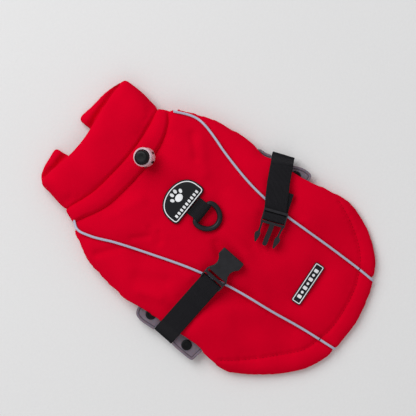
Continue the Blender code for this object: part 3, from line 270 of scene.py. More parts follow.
class FabricSettings(bpy.types.PropertyGroup):
    """Sizes and colours of the padded cloth and its sewing"""

    shell: colour_property("Shell", "Colour of the softshell", (0.69, 0.0, 0.019))
    body_net: size_property("Body net", "Spacing of the body panels' net before it swells", 0.0024)
    neck_net: size_property("Neck net", "Spacing of the neck's and collar's net before it swells", 0.0016)
    body_swell: size_property("Body swell", "Most that a body panel may swell", 0.0030)
    neck_swell: size_property("Neck swell", "Most that the neck and the collar may swell", 0.0012)
    pressure: FloatProperty(name="Pressure", description="Push of the padding from inside", default=400.0)
    steps: IntProperty(name="Steps", description="Steps over which the padding swells", default=16)
    pucker: size_property("Pucker", "Depth of the puckers along a seam", 0.00028)
    furrow: size_property("Furrow", "Depth of the furrow that the hem's stitching pulls", 0.0010)
    roll: size_property("Roll", "Height of the cloth's broad waves", 0.00038)
    edge_fill: size_property("Edge fill", "How far the filling pushes the cloth's edges outwards", 0.0011)
    seam_fill: size_property("Seam fill", "How far the cloth rises beside the neck's seams", 0.0012)
    stitch_length: size_property("Stitch length", "Visible length of one stitch", 0.0023)
    stitch_pitch: size_property("Stitch pitch", "From one stitch to the next", 0.0032)
    thread: size_property("Thread", "Thickness of the thread", 0.00045)


class TrimSettings(bpy.types.PropertyGroup):
    """Sizes and colours of the pipings, webbing and side bands"""

    piping: colour_property("Piping", "Colour of the reflective tape", (0.46, 0.48, 0.62))
    webbing: colour_property("Webbing", "Colour of the webbing", (0.0085, 0.0082, 0.0100))
    band: colour_property("Side band", "Colour of the side bands", (0.20, 0.155, 0.20))
    rib: size_property("Rib", "Spacing of the webbing's ribs", 0.0011)
    rim: size_property("Rim", "Width of a side band's rim", 0.0021)


class HardwareSettings(bpy.types.PropertyGroup):
    """Sizes and colours of the moulded parts"""

    plastic: colour_property("Plastic", "Colour of the buckle and the ring", (0.0082, 0.0080, 0.0115))
    rubber: colour_property("Rubber", "Colour of the badge and the label", (0.0085, 0.0090, 0.0120))
    relief: colour_property("Relief", "Colour of their raised lines", (0.86, 0.87, 0.90))
    barrel: colour_property("Barrel", "Colour of the cord lock's clear barrel", (0.86, 0.62, 0.69))
    soften: size_property("Soften", "Width of a moulded part's rounded edges", 0.00032)
    relief_height: size_property("Relief height", "Height of the raised lines", 0.0005)


class StageSettings(bpy.types.PropertyGroup):
    """Floor, light and view"""

    floor: colour_property("Floor", "Colour of the floor", (0.84, 0.84, 0.845))
    floor_size: size_property("Floor size", "Side of the floor", 8.0)
    view_width: size_property("View width", "Width of what the camera sees", 0.3781)
    view_height: size_property("View height", "Height of the camera", 3.0)
    key_power: FloatProperty(name="Key light", description="Power of the soft main light", default=39.0)
    sky: FloatProperty(name="Sky", description="Strength of the even light from all round", default=0.44)


def ease(t):
    t = np.clip(t, 0.0, 1.0)
    return t * t * (3 - 2 * t)


def travelled(line):
    """How far along a line each of its points lies."""
    return np.concatenate(([0], np.cumsum(np.linalg.norm(np.diff(line, axis=0), axis=1))))


def smooth_line(points, count):
    """Points at even steps along a smooth curve through these."""
    points = np.array(points, float)
    padded = np.vstack((2 * points[0] - points[1], points, 2 * points[-1] - points[-2]))
    fine = []
    for a, b, c, d in zip(padded, padded[1:], padded[2:], padded[3:]):
        for t in np.linspace(0, 1, 12, endpoint=False):
            fine.append(
                0.5 * (2 * b + (c - a) * t + (2 * a - 5 * b + 4 * c - d) * t * t
                       + (3 * b - a - 3 * c + d) * t**3)
            )
    fine = np.array(fine + [points[-1]])
    gone = travelled(fine)
    at = np.linspace(0, gone[-1], count)
    return np.column_stack([np.interp(at, gone, fine[:, axis]) for axis in range(fine.shape[1])])


def hem_seam():
    return smooth_line(HEM_STITCHING, 90)


def along_line(points, line):
    """Each point's distance from a line in plan, and how far along the line its nearest spot lies."""
    a, step = line[:-1], np.diff(line, axis=0)
    size = (step**2).sum(1)
    start = np.concatenate(([0], np.cumsum(np.sqrt(size))))[:-1]
    share = np.clip(((points[:, None, :2] - a) * step).sum(2) / size, 0, 1)
    away = np.sqrt(((points[:, None, :2] - a - share[..., None] * step) ** 2).sum(2))
    nearest = away.argmin(1)
    rows = np.arange(len(points))
    return away[rows, nearest], (start + share * np.sqrt(size))[rows, nearest]


# Shapes


def merged(node):
    """A copy of a CAD node's mesh with its doubled corners joined."""
    shape = bmesh.new()
    shape.from_mesh(frame["nodes"][node].data)
    bmesh.ops.remove_doubles(shape, verts=shape.verts, dist=1e-6)
    return shape


def finish_piece(name, shape, material, body=GARMENT, nodes=()):
    """An object of this shape that rides on a body and stands for CAD nodes."""
    mesh = bpy.data.meshes.new(name)
    shape.to_mesh(mesh)
    shape.free()
    mesh.materials.append(material)
    piece = bpy.data.objects.new(name, mesh)
    bpy.context.scene.collection.objects.link(piece)
    mesh.shade_smooth()
    mesh.set_sharp_from_angle(angle=math.radians(38))
    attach(piece, body)
    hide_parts(*nodes)
    return piece


def apply_modifiers(piece):
    """Makes what the piece's modifiers give its own mesh."""
    seen = piece.evaluated_get(bpy.context.evaluated_depsgraph_get())
    made = bpy.data.meshes.new_from_object(seen)
    old = piece.data
    piece.modifiers.clear()
    piece.data = made
    bpy.data.meshes.remove(old)
    made.name = piece.name


def points_of(mesh):
    found = np.empty(len(mesh.vertices) * 3)
    mesh.vertices.foreach_get("co", found)
    return found.reshape(-1, 3)


def normals_of(mesh):
    found = np.empty(len(mesh.vertices) * 3, np.float32)
    mesh.vertex_normals.foreach_get("vector", found)
    return found.reshape(-1, 3)


def move_points(mesh, points):
    mesh.vertices.foreach_set("co", points.ravel())
    mesh.update()


def surface_of(objects):
    """A search tree over these objects' meshes."""
    points, faces = [], []
    for item in objects:
        start = len(points)
        points += [vertex.co.copy() for vertex in item.data.vertices]
        faces += [tuple(start + i for i in face.vertices) for face in item.data.polygons]
    return BVHTree.FromPolygons(points, faces)


def height_on(tree, x, y):
    hit = tree.ray_cast(Vector((x, y, 1.0)), -UP)[0]
    return hit.z if hit else 0.0


def strip_frames(node, start_near=None):
    """Frames along a CAD strip: x across it, y along it and z out of it, at each of its rings."""
    shape = merged(node)

    def levels(first):
        found = {vertex: 0 for vertex in first}
        waiting = deque(first)
        while waiting:
            vertex = waiting.popleft()
            for edge in vertex.link_edges:
                other = edge.other_vert(vertex)
                if other not in found:
                    found[other] = found[vertex] + 1
                    waiting.append(other)
        return found

    shape.verts.ensure_lookup_table()
    found = levels([shape.verts[0]])
    found = levels([vertex for vertex, level in found.items() if level == max(found.values())])
    rings = [[] for _ in range(max(found.values()) + 1)]
    for vertex, level in found.items():
        rings[level].append(vertex.co.copy())
    shape.free()
    centres = [sum(ring, Vector()) / len(ring) for ring in rings]
    if start_near is not None and (centres[0] - start_near).length > (centres[-1] - start_near).length:
        rings.reverse()
        centres.reverse()
    across = []
    for ring in rings:
        side = sorted((corner - ring[0] for corner in ring[1:]), key=lambda step: step.length)[1]
        if across and side.dot(across[-1]) < 0:
            side = -side
        across.append(side.normalized())
    return centres, across


def finer_frames(centres, across, spacing):
    """Matrices at even steps along a strip, and how far along it each lies."""
    length = sum((b - a).length for a, b in zip(centres, centres[1:]))
    count = max(int(length / spacing), 8)
    both = np.hstack((np.array(centres), np.array(across) * 1e-4))
    fine = smooth_line(both, count)
    gone = travelled(fine[:, :3])
    ahead = np.gradient(fine[:, :3], axis=0)
    frames = []
    for here, forward in zip(fine, ahead):
        x_axis = Vector(here[3:]).normalized()
        z_axis = x_axis.cross(Vector(forward)).normalized()
        y_axis = z_axis.cross(x_axis)
        rotation = Matrix((x_axis, y_axis, z_axis)).transposed().to_4x4()
        frames.append(Matrix.Translation(here[:3]) @ rotation)
    return frames, gone


def inset_line(line, inset, way):
    """A line in plan moved to one side, without the parts that would cross at a tight bend."""
    ahead = np.gradient(line, axis=0)
    ahead /= np.linalg.norm(ahead, axis=1)[:, None]
    side = np.column_stack((-ahead[:, 1], ahead[:, 0]))
    if side[:, 0].sum() * way < 0:
        side = -side
    moved = line + inset * side
    away, _ = along_line(moved, line)
    return moved[away > 0.94 * inset]


def level_frames(line, height, closed=False):
    """Matrices along a line in plan, x across it, y ahead and z up, and how far along it each lies."""
    if closed:
        ahead = np.roll(line, -1, axis=0) - np.roll(line, 1, axis=0)
    else:
        ahead = np.gradient(line, axis=0)
    frames = []
    for (x, y), (u, v) in zip(line, ahead):
        forward = Vector((u, v, 0)).normalized()
        rotation = Matrix((forward.cross(UP), forward, UP)).transposed().to_4x4()
        frames.append(Matrix.Translation((x, y, height)) @ rotation)
    return frames, travelled(line)


def rounded_outline(width, thick, corner, steps=3):
    """A closed (across, out) outline of a flat strip with round edges."""
    points = []
    for sx, sz, start in ((1, 1, 0), (-1, 1, 90), (-1, -1, 180), (1, -1, 270)):
        for i in range(steps + 1):
            angle = math.radians(start + 90 * i / steps)
            points.append((sx * (width / 2 - corner) + corner * math.cos(angle),
                           sz * (thick / 2 - corner) + corner * math.sin(angle)))
    return points


def corners_of(grown):
    return [item for item in grown if isinstance(item, bmesh.types.BMVert)]


def sweep(outline, frames, gone, closed=False):
    """Draws an outline along frames. The attributes across and along hold each point's place on the strip."""
    shape = bmesh.new()
    across = shape.verts.layers.float.new("across")
    along = shape.verts.layers.float.new("along")
    ring = []
    for x, z in outline:
        vertex = shape.verts.new(frames[0] @ Vector((x, 0, z)))
        vertex[across] = x
        vertex[along] = gone[0]
        ring.append(vertex)
    edges = [shape.edges.new((ring[i - 1], ring[i])) for i in range(len(ring))]
    first = list(edges)
    for before, after, far in zip(frames, frames[1:], gone[1:]):
        grown = bmesh.ops.extrude_edge_only(shape, edges=edges)["geom"]
        corners = corners_of(grown)
        bmesh.ops.transform(shape, matrix=after @ before.inverted(), verts=corners)
        for vertex in corners:
            vertex[along] = far
        moved = set(corners)
        edges = [
            item for item in grown
            if isinstance(item, bmesh.types.BMEdge) and item.verts[0] in moved and item.verts[1] in moved
        ]
    if closed:
        bmesh.ops.bridge_loops(shape, edges=first + edges)
    else:
        bmesh.ops.edgeloop_fill(shape, edges=first)
        bmesh.ops.edgeloop_fill(shape, edges=edges)
    bmesh.ops.recalc_face_normals(shape, faces=shape.faces)
    return shape


# Materials


class Nodes:
    """Adds linked nodes to one node tree."""

    def __init__(self, tree):
        self.tree = tree

    def add(self, kind, inputs=None, **settings):
        node = self.tree.nodes.new(kind)
        for name, value in settings.items():
            setattr(node, name, value)
        for name, value in (inputs or {}).items():
            self.feed(node.inputs[name], value)
        return node

    def feed(self, socket, value):
        if isinstance(value, bpy.types.NodeSocket):
            self.tree.links.new(value, socket)
        else:
            socket.default_value = value

    def calc(self, operation, *values):
        node = self.add("ShaderNodeMath", operation=operation)
        for socket, value in zip(node.inputs, values):
            self.feed(socket, value)
        return node.outputs[0]

    def span(self, value, low, high, out_low, out_high):
        """The value's place between low and high, as a place between out_low and out_high."""
        inputs = {"Value": value, "From Min": low, "From Max": high, "To Min": out_low, "To Max": out_high}
        return self.add("ShaderNodeMapRange", inputs).outputs["Result"]

    def blend(self, share, first, second):
        node = self.add("ShaderNodeMix", data_type="RGBA")
        for name, value in (("Factor_Float", share), ("A_Color", first), ("B_Color", second)):
            socket = next(item for item in node.inputs if item.identifier == name)
            self.feed(socket, value)
        return next(item for item in node.outputs if item.identifier == "Result_Color")

    def noise(self, vector, size, detail=2.0, rough=0.5):
        inputs = {"Vector": vector, "Scale": 1.0 / size, "Detail": detail, "Roughness": rough}
        return self.add("ShaderNodeTexNoise", inputs).outputs["Fac"]

    def object_place(self):
        return self.add("ShaderNodeTexCoord").outputs["Object"]

    def attribute(self, name):
        return self.add("ShaderNodeAttribute", attribute_name=name).outputs["Fac"]

    def group(self, tree, **inputs):
        node = self.add("ShaderNodeGroup", node_tree=tree)
        for name, value in inputs.items():
            self.feed(node.inputs[name], value)
        return node.outputs


def effect(name, inputs, outputs, build):
    """A node group with these sockets, made once."""
    found = bpy.data.node_groups.get(name)
    if found:
        return found
    tree = bpy.data.node_groups.new(name, "ShaderNodeTree")
    for direction, sockets in (("INPUT", inputs), ("OUTPUT", outputs)):
        for label, kind in sockets.items():
            tree.interface.new_socket(name=label, in_out=direction, socket_type=f"NodeSocket{kind}")
    nodes = Nodes(tree)
    entry = nodes.add("NodeGroupInput").outputs
    results = build(nodes, entry)
    leave = nodes.add("NodeGroupOutput")
    for label, value in results.items():
        nodes.feed(leave.inputs[label], value)
    return tree


def knit_face():
    """Fine loops of a softshell's face cloth."""

    def build(nodes, entry):
        split = nodes.add("ShaderNodeSeparateXYZ", {"Vector": entry["Place"]}).outputs
        turn = nodes.calc("DIVIDE", 2 * math.pi, entry["Spacing"])
        rows = nodes.calc("MULTIPLY", nodes.calc("ADD", split["X"], split["Z"]), turn)
        columns = nodes.calc("MULTIPLY", nodes.calc("SUBTRACT", split["Y"], split["Z"]), turn)
        wave = nodes.calc("MULTIPLY", nodes.calc("SINE", rows), nodes.calc("SINE", columns))
        fluff = nodes.noise(entry["Place"], 0.0004, 3.0, 0.6)
        height = nodes.calc("ADD", nodes.calc("MULTIPLY", wave, 0.3), fluff)
        return {"Height": height, "Tint": nodes.span(height, 0.2, 0.9, 0.0, 1.0)}

    return effect("Knit Face", {"Place": "Vector", "Spacing": "Float"}, {"Height": "Float", "Tint": "Float"},
                  build)


def woven_ribs():
    """Ribs of heavy webbing with slanting picks, from a place along and across it."""

    def build(nodes, entry):
        column = nodes.calc("DIVIDE", entry["Across"], entry["Rib"])
        number = nodes.calc("FLOOR", column)
        inside = nodes.calc("FRACT", column)
        rib = nodes.calc("SINE", nodes.calc("MULTIPLY", inside, math.pi))
        side = nodes.calc("PINGPONG", number, 1.0)
        slant = nodes.calc("MULTIPLY", nodes.calc("SUBTRACT", side, 0.5), inside)
        row = nodes.calc("DIVIDE", entry["Along"], nodes.calc("MULTIPLY", entry["Rib"], 0.82))
        row = nodes.calc("ADD", nodes.calc("ADD", row, slant), nodes.calc("MULTIPLY", side, 0.5))
        pick = nodes.calc("SINE", nodes.calc("MULTIPLY", nodes.calc("FRACT", row), math.pi))
        height = nodes.calc("MULTIPLY", nodes.calc("ADD", pick, 0.55), nodes.calc("POWER", rib, 0.6))
        return {"Height": height, "Gap": nodes.span(height, 0.15, 0.75, 1.0, 0.0)}

    return effect("Woven Ribs", {"Across": "Float", "Along": "Float", "Rib": "Float"},
                  {"Height": "Float", "Gap": "Float"}, build)


def moulded_skin():
    """Fine grain and handling marks of a moulded surface."""

    def build(nodes, entry):
        grain = nodes.noise(entry["Place"], 0.00035, 2.0, 0.6)
        cloud = nodes.noise(entry["Place"], 0.006, 3.0, 0.55)
        scuff = nodes.add(
            "ShaderNodeTexNoise",
            {"Vector": nodes.add("ShaderNodeMapping", {"Vector": entry["Place"], "Scale": (1.0, 0.18, 1.0)})
             .outputs[0], "Scale": 1600.0, "Detail": 1.0},
        ).outputs["Fac"]
        mark = nodes.calc("MULTIPLY", nodes.span(scuff, 0.66, 0.80, 0.0, 1.0), entry["Wear"])
        return {"Height": nodes.calc("ADD", grain, nodes.calc("MULTIPLY", cloud, 0.5)), "Cloud": cloud,
                "Mark": mark}

    return effect("Moulded Skin", {"Place": "Vector", "Wear": "Float"},
                  {"Height": "Float", "Cloud": "Float", "Mark": "Float"}, build)


def new_material(name, build, **constants):
    """A material whose varying sockets build fills and whose other sockets are plain values."""
    found = bpy.data.materials.get(name)
    if found:
        return found
    made = bpy.data.materials.new(name)
    made.use_nodes = True
    nodes = Nodes(made.node_tree)
    shader = made.node_tree.nodes["Principled BSDF"]
    for label, value in constants.items():
        shader.inputs[label.replace("_", " ")].default_value = value
    results = build(nodes)
    if "Height" in results:
        bump = nodes.add("ShaderNodeBump", {"Height": results.pop("Height"), "Distance": results.pop("Depth"),
                                            "Strength": 1.0})
        results["Normal"] = bump.outputs["Normal"]
    for label, value in results.items():
        nodes.feed(shader.inputs[label], value)
    return made


def shade(colour, factor):
    return (*(min(channel * factor, 1.0) for channel in colour), 1.0)


def shell_cloth():
    colour = bpy.context.scene.vest_fabric.shell

    def build(nodes):
        place = nodes.object_place()
        knit = nodes.group(knit_face(), Place=place, Spacing=0.0007)
        cloud = nodes.noise(place, 0.030, 3.0, 0.5)
        base = nodes.blend(nodes.span(cloud, 0.3, 0.7, 0.0, 1.0), shade(colour, 0.93), shade(colour, 1.05))
        base = nodes.blend(nodes.calc("MULTIPLY", knit["Tint"], 0.35), base, shade(colour, 0.80))
        return {"Base Color": base, "Roughness": nodes.span(knit["Tint"], 0.0, 1.0, 0.88, 0.72),
                "Height": knit["Height"], "Depth": 0.00007}

    return new_material("Softshell", build, Specular_IOR_Level=0.01, Sheen_Weight=0.04,
                        Sheen_Tint=shade(colour, 1.2))


def thread(name, colour):
    def build(nodes):
        twist = nodes.noise(nodes.object_place(), 0.0005, 2.0)
        return {"Base Color": nodes.blend(twist, shade(colour, 0.7), shade(colour, 1.15)),
                "Roughness": nodes.span(twist, 0.3, 0.7, 0.55, 0.75), "Height": twist, "Depth": 0.0001}

    return new_material(name, build, Specular_IOR_Level=0.05)


def reflective_tape():
    colour = bpy.context.scene.vest_trim.piping

    def build(nodes):
        along, across = nodes.attribute("along"), nodes.attribute("across")
        slanted = nodes.calc("ADD", along, nodes.calc("MULTIPLY", across, 0.8))
        wave = nodes.calc("SINE", nodes.calc("MULTIPLY", slanted, 2 * math.pi / 0.0014))
        rib = nodes.span(wave, -1.0, 1.0, 0.0, 1.0)
        grime = nodes.noise(nodes.object_place(), 0.004, 3.0)
        base = nodes.blend(rib, shade(colour, 0.80), shade(colour, 1.12))
        base = nodes.blend(nodes.span(grime, 0.5, 0.8, 0.0, 0.25), base, shade(colour, 0.6))
        return {"Base Color": base, "Roughness": nodes.span(rib, 0.0, 1.0, 0.55, 0.36), "Height": rib,
                "Depth": 0.00012}

    return new_material("Reflective Tape", build, Metallic=0.15, Specular_IOR_Level=0.5)


def woven_webbing():
    trim = bpy.context.scene.vest_trim
    colour = trim.webbing

    def build(nodes):
        weave = nodes.group(woven_ribs(), Across=nodes.attribute("across"), Along=nodes.attribute("along"),
                            Rib=trim.rib)
        cloud = nodes.noise(nodes.object_place(), 0.008, 3.0)
        base = nodes.blend(weave["Gap"], shade(colour, 2.0), shade(colour, 0.25))
        base = nodes.blend(nodes.span(cloud, 0.45, 0.75, 0.0, 0.35), base, shade(colour, 2.0))
        return {"Base Color": base, "Roughness": nodes.span(weave["Gap"], 0.0, 1.0, 0.62, 0.85),
                "Height": weave["Height"], "Depth": 0.00040}

    return new_material("Woven Webbing", build, Specular_IOR_Level=0.12)


def braided_cord():
    colour = shade(bpy.context.scene.vest_fabric.shell, 0.35)[:3]

    def build(nodes):
        along, across = nodes.attribute("along"), nodes.attribute("across")
        waves = []
        for way in (1.0, -1.0):
            slanted = nodes.calc("ADD", along, nodes.calc("MULTIPLY", across, way))
            waves.append(nodes.calc("SINE", nodes.calc("MULTIPLY", slanted, 2 * math.pi / 0.0012)))
        braid = nodes.span(nodes.calc("MAXIMUM", *waves), -0.4, 1.0, 0.0, 1.0)
        return {"Base Color": nodes.blend(braid, shade(colour, 0.5), shade(colour, 1.8)),
                "Roughness": nodes.span(braid, 0.0, 1.0, 0.85, 0.6), "Height": braid, "Depth": 0.0002}

    return new_material("Braided Cord", build, Specular_IOR_Level=0.3)


# Moulded surfaces: (settings, colour in them, its shade, least and most roughness, depth of the grain, wear,
# the shader's other values)
MOULDED = {
    "Buckle Plastic": ("vest_hardware", "plastic", 1.0, 0.27, 0.40, 0.00003, 0.8,
                       {"Specular_IOR_Level": 0.42}),
    "Ring Plastic": ("vest_hardware", "plastic", 1.0, 0.40, 0.52, 0.00003, 0.7, {"Specular_IOR_Level": 0.32}),
    # Also the cord lock's dark slots, painted shade of its cord holes
    "Snap Plastic": ("vest_hardware", "plastic", 0.4, 0.30, 0.45, 0.00002, 0.4, {"Specular_IOR_Level": 0.2}),
    "Badge Rubber": ("vest_hardware", "rubber", 1.0, 0.55, 0.70, 0.00006, 0.2, {"Specular_IOR_Level": 0.2}),
    "Relief Rubber": ("vest_hardware", "relief", 1.0, 0.50, 0.62, 0.00004, 0.0, {"Specular_IOR_Level": 0.4}),
    "Band Rubber": ("vest_trim", "band", 1.0, 0.34, 0.50, 0.00008, 0.3,
                    {"Specular_IOR_Level": 0.5, "Subsurface_Weight": 0.25, "Subsurface_Scale": 0.002,
                     "Transmission_Weight": 0.12}),
    # Painted shade: the thin line beside a side band's rim is band rubber darkened to stand for the shade in
    # that recess
    "Groove Rubber": ("vest_trim", "band", 0.45, 0.50, 0.65, 0.00006, 0.0, {"Specular_IOR_Level": 0.2}),
    "Clear Plastic": ("vest_hardware", "barrel", 1.0, 0.18, 0.30, 0.00004, 0.0,
                      {"Specular_IOR_Level": 0.6, "Transmission_Weight": 0.22, "IOR": 1.47}),
}


def moulded(name):
    """A moulded plastic or rubber between two roughnesses."""
    settings, colour, factor, low, high, depth, wear, constants = MOULDED[name]
    colour = shade(getattr(getattr(bpy.context.scene, settings), colour), factor)[:3]

    def build(nodes):
        skin = nodes.group(moulded_skin(), Place=nodes.object_place(), Wear=wear)
        base = nodes.blend(nodes.span(skin["Cloud"], 0.3, 0.7, 0.0, 1.0), shade(colour, 0.88),
                           shade(colour, 1.12))
        base = nodes.blend(nodes.calc("MULTIPLY", skin["Mark"], 0.5), base, shade(colour, 2.4))
        return {"Base Color": base, "Roughness": nodes.span(skin["Cloud"], 0.3, 0.7, low, high),
                "Height": skin["Height"], "Depth": depth}

    return new_material(name, build, **constants)


def floor_paper():
    colour = bpy.context.scene.vest_stage.floor

    def build(nodes):
        place = nodes.object_place()
        fibre = nodes.noise(place, 0.0022, 4.0, 0.7)
        cloud = nodes.noise(place, 0.35, 2.0)
        base = nodes.blend(nodes.span(cloud, 0.3, 0.7, 0.0, 1.0), shade(colour, 0.985), shade(colour, 1.0))
        base = nodes.blend(nodes.span(fibre, 0.35, 0.65, 0.0, 0.4), base, shade(colour, 0.95))
        return {"Base Color": base, "Roughness": nodes.span(fibre, 0.3, 0.7, 0.7, 0.85), "Height": fibre,
                "Depth": 0.0002}

    return new_material("Floor Paper", build, Specular_IOR_Level=0.2)


# Padded cloth


def fuller(points):
    """Moves points outwards where the filling carries the cloth past its solid."""
    points = np.array(points, float)
    move = np.zeros((len(points), 2))
    for x, y, across, along, reach in FULLER:
        near = np.exp(-((points[:, 0] - x) ** 2 + (points[:, 1] - y) ** 2) / reach**2)
        move += near[:, None] * (across, along)
    points[:, :2] += move
    return points


def distance_to(tree, points, most=1.0):
    """Each point's distance from a surface, at the most."""
    found = [tree.find_nearest(Vector(point), most)[3] for point in points]
    return np.array([most if value is None else value for value in found])


def others_surface(node):
    return surface_of([item for name, item in frame["nodes"].items() if name != node])


def held_weights(piece, node, reach):
    """How firmly each point is held, 0 to 1, by the pieces next to it, the floor and the hem's stitches."""
    points = points_of(piece.data)
    held = 1 - ease((distance_to(others_surface(node), points) - TOUCHING) / reach)
    held = np.maximum(held, 1 - ease((points[:, 2] - 0.0004) / 0.004))
    if node in ("back_panel", "side_panel_left", "side_panel_right"):
        away, _ = along_line(points, hem_seam())
        held = np.maximum(held, 1 - ease((away - 0.001) / 0.006))
    return held


def swell(piece, held, limit, fabric):
    """Lets the padding push the free points outwards, by at most the limit."""
    rest = points_of(piece.data)
    group = piece.vertex_groups.new(name="held")
    for index, weight in enumerate(held):
        group.add([index], float(weight), "REPLACE")
    scene = bpy.context.scene
    cloth = piece.modifiers.new("padding", "CLOTH")
    settings = {"vertex_group_mass": group.name, "pin_stiffness": 1.0, "use_pressure": True, "mass": 0.15,
                "uniform_pressure_force": fabric.pressure, "bending_stiffness": 0.6, "quality": 6}
    for name, value in settings.items():
        setattr(cloth.settings, name, value)
    cloth.settings.effector_weights.gravity = 0
    cloth.collision_settings.use_collision = False
    cloth.point_cache.frame_start = 1
    cloth.point_cache.frame_end = fabric.steps
    for number in range(1, fabric.steps + 1):
        scene.frame_set(number)
    apply_modifiers(piece)
    scene.frame_set(1)
    moved = points_of(piece.data) - rest
    size = np.linalg.norm(moved, axis=1)
    moved *= (np.minimum(size, limit) / np.maximum(size, 1e-9))[:, None] * (1 - held)[:, None]
    move_points(piece.data, rest + moved)
    piece.vertex_groups.clear()


def even_out(piece, free, rounds):
    """Smooths the free points of a mesh."""
    shape = bmesh.new()
    shape.from_mesh(piece.data)
    shape.verts.ensure_lookup_table()
    chosen = [vertex for vertex, open_point in zip(shape.verts, free) if open_point]
    for _ in range(rounds):
        bmesh.ops.smooth_vert(
            shape, verts=chosen, factor=0.5, use_axis_x=True, use_axis_y=True, use_axis_z=True
        )
    shape.to_mesh(piece.data)
    shape.free()


def settle_on(piece, tree):
    """Moves each point to the nearest spot of a surface."""
    points = points_of(piece.data)
    move_points(piece.data, np.array([tree.find_nearest(Vector(point))[0] for point in points]))


def puckers(points, line, seam):
    """How far the gathered cloth next to a seam rises at each point."""
    share, spread, period = PUCKERS[seam]
    depth = bpy.context.scene.vest_fabric.pucker * share
    away, gone = along_line(points, line)
    turn = 2 * math.pi * gone / period
    wave = np.sin(turn + 1.9 * np.sin(turn * 0.23)) * (0.65 + 0.35 * np.sin(turn * 0.37 + 1.0))
    return depth * (wave - 0.35) * np.exp(-((away / spread) ** 2))


def furrow(points, line, kind):
    """How far the cloth sinks along a line or at a distance to either side of it."""
    side, share, spread, wander = FURROWS[kind]
    depth = bpy.context.scene.vest_fabric.furrow * share
    away, gone = along_line(points, line)
    uneven = 1 - wander + wander * np.sin(gone * 310 + 1.3 * np.sin(gone * 170))
    return -depth * uneven * np.exp(-(((away - side) / spread) ** 2))


def rolls(points, height):
    """Broad soft waves of the filling."""
    found = np.zeros(len(points))
    for turn, length, start, share in WAVES:
        way = math.radians(turn)
        along = points[:, 0] * math.cos(way) + points[:, 1] * math.sin(way)
        found += share * np.sin(2 * math.pi * along / length + start)
    return height * found


def folds(points):
    """Soft folds and dents of the back."""
    found = np.zeros(len(points))
    for x0, y0, x1, y1, width, rise in FOLDS:
        away, _ = along_line(points, np.array(((x0, y0), (x1, y1))))
        found += 2.2 * rise * np.exp(-((away / (1.2 * width)) ** 2))
    return found


def crease(points, line, rise):
    """How far the cloth rises beside a seam, next to the thin crease of the seam itself."""
    away, _ = along_line(points, line)
    sink = 1.3 * np.exp(-((away / CREASE_HALF) ** 2))
    return rise * np.exp(-((away / CREASE_REACH) ** 2)) * (1 - sink)


def lift(piece, node, rise):
    """Moves the cloth's upper side by this rise, but not up into what lies on it."""
    points, normals = points_of(piece.data), normals_of(piece.data)
    clear = ease((distance_to(others_surface(node), points, 0.02) - 0.0008) / 0.0040)
    rise = np.where(rise > 0, rise * clear, rise) * np.clip(normals[:, 2], 0, 1)
    points[:, 2] += rise
    move_points(piece.data, points)


def padded_piece(name, node, spacing, limit, reach, rounded=True):
    """A padded panel swollen from its CAD solid."""
    fabric = bpy.context.scene.vest_fabric
    shape = merged(node)
    if rounded:
        bmesh.ops.join_triangles(shape, faces=shape.faces, angle_face_threshold=math.pi,
                                 angle_shape_threshold=math.pi, topology_influence=1.0)
        sharp = shape.edges.layers.float.new("crease_edge")
        for edge in shape.edges:
            if edge.is_manifold and edge.calc_face_angle() > math.radians(50):
                edge[sharp] = 1.0
    piece = finish_piece(name, shape, shell_cloth(), nodes=(node,))
    if rounded:
        step = piece.modifiers.new("rounded", "SUBSURF")
        step.levels = step.render_levels = 2
        apply_modifiers(piece)
    surface = surface_of([piece])
    net = piece.modifiers.new("net", "REMESH")
    net.mode = "VOXEL"
    net.voxel_size = spacing
    apply_modifiers(piece)
    everywhere = [True] * len(piece.data.vertices)
    even_out(piece, everywhere, 4)
    settle_on(piece, surface)
    held = held_weights(piece, node, reach)
    swell(piece, held, limit, fabric)
    even_out(piece, held < 0.95, 3)
    even_out(piece, everywhere, 1)
    finer = piece.modifiers.new("finer", "SUBSURF")
    finer.levels = finer.render_levels = 1
    apply_modifiers(piece)
    points, normals = points_of(piece.data), normals_of(piece.data)
    points[:, :2] += normals[:, :2] * fabric.edge_fill
    move_points(piece.data, fuller(points))
    piece.data.shade_smooth()
    return piece


def join_seams(pieces):
    """Draws neighbouring panels together until they meet in their seams."""
    trees = [surface_of([piece]) for piece in pieces]
    moved = []
    for number, piece in enumerate(pieces):
        points, normals = points_of(piece.data), normals_of(piece.data)
        for other, tree in enumerate(trees):
            if other == number:
                continue
            for index, (point, normal) in enumerate(zip(points, normals)):
                spot, _, _, away = tree.find_nearest(Vector(point), SEAM_REACH)
                if spot is None or away < 1e-6:
                    continue
                way = (spot - Vector(point)) / away
                facing = way.dot(Vector(normal))
                if facing > 0.25:
                    points[index] += np.array(way) * (away / 2 + 0.00004) * min(facing * 1.4, 1.0)
        moved.append(points)
    for piece, points in zip(pieces, moved):
        move_points(piece.data, points)
        even_out(piece, [True] * len(points), 1)


class VEST_OT_body(bpy.types.Operator):
    """Pads the back, the side panels and the chest"""

    bl_idname = "vest.body"
    bl_label = "Padded body"

    def execute(self, context):
        fabric = context.scene.vest_fabric
        neck = fuller(smooth_line(BODY_SEAM, 60))
        hem = hem_seam()
        pipings = [np.array(strip_frames(f"piping_{side}")[0])[:, :2] for side in ("left", "right")]
        straps = [np.array(strip_frames(f"strap_{side}")[0])[:, :2] for side in ("left", "right")]
        for name, node in (("padded_back", "back_panel"), ("padded_side_left", "side_panel_left"),
                           ("padded_side_right", "side_panel_right")):
            piece = padded_piece(name, node, fabric.body_net, fabric.body_swell, BODY_HOLD)
            points = points_of(piece.data)
            rise = rolls(points, fabric.roll) + folds(points)
            rise += furrow(points, hem, "hem") + puckers(points, hem, "hem")
            rise += puckers(points, neck, "neck") + crease(points, neck, fabric.seam_fill)
            for line in pipings:
                rise += puckers(points, line, "piping")
            for line in straps:
                rise += furrow(points, line, "strap")
            lift(piece, node, rise)
        padded_piece("padded_chest", "chest_panel", fabric.body_net, fabric.body_swell, BODY_HOLD, False)
        return {"FINISHED"}


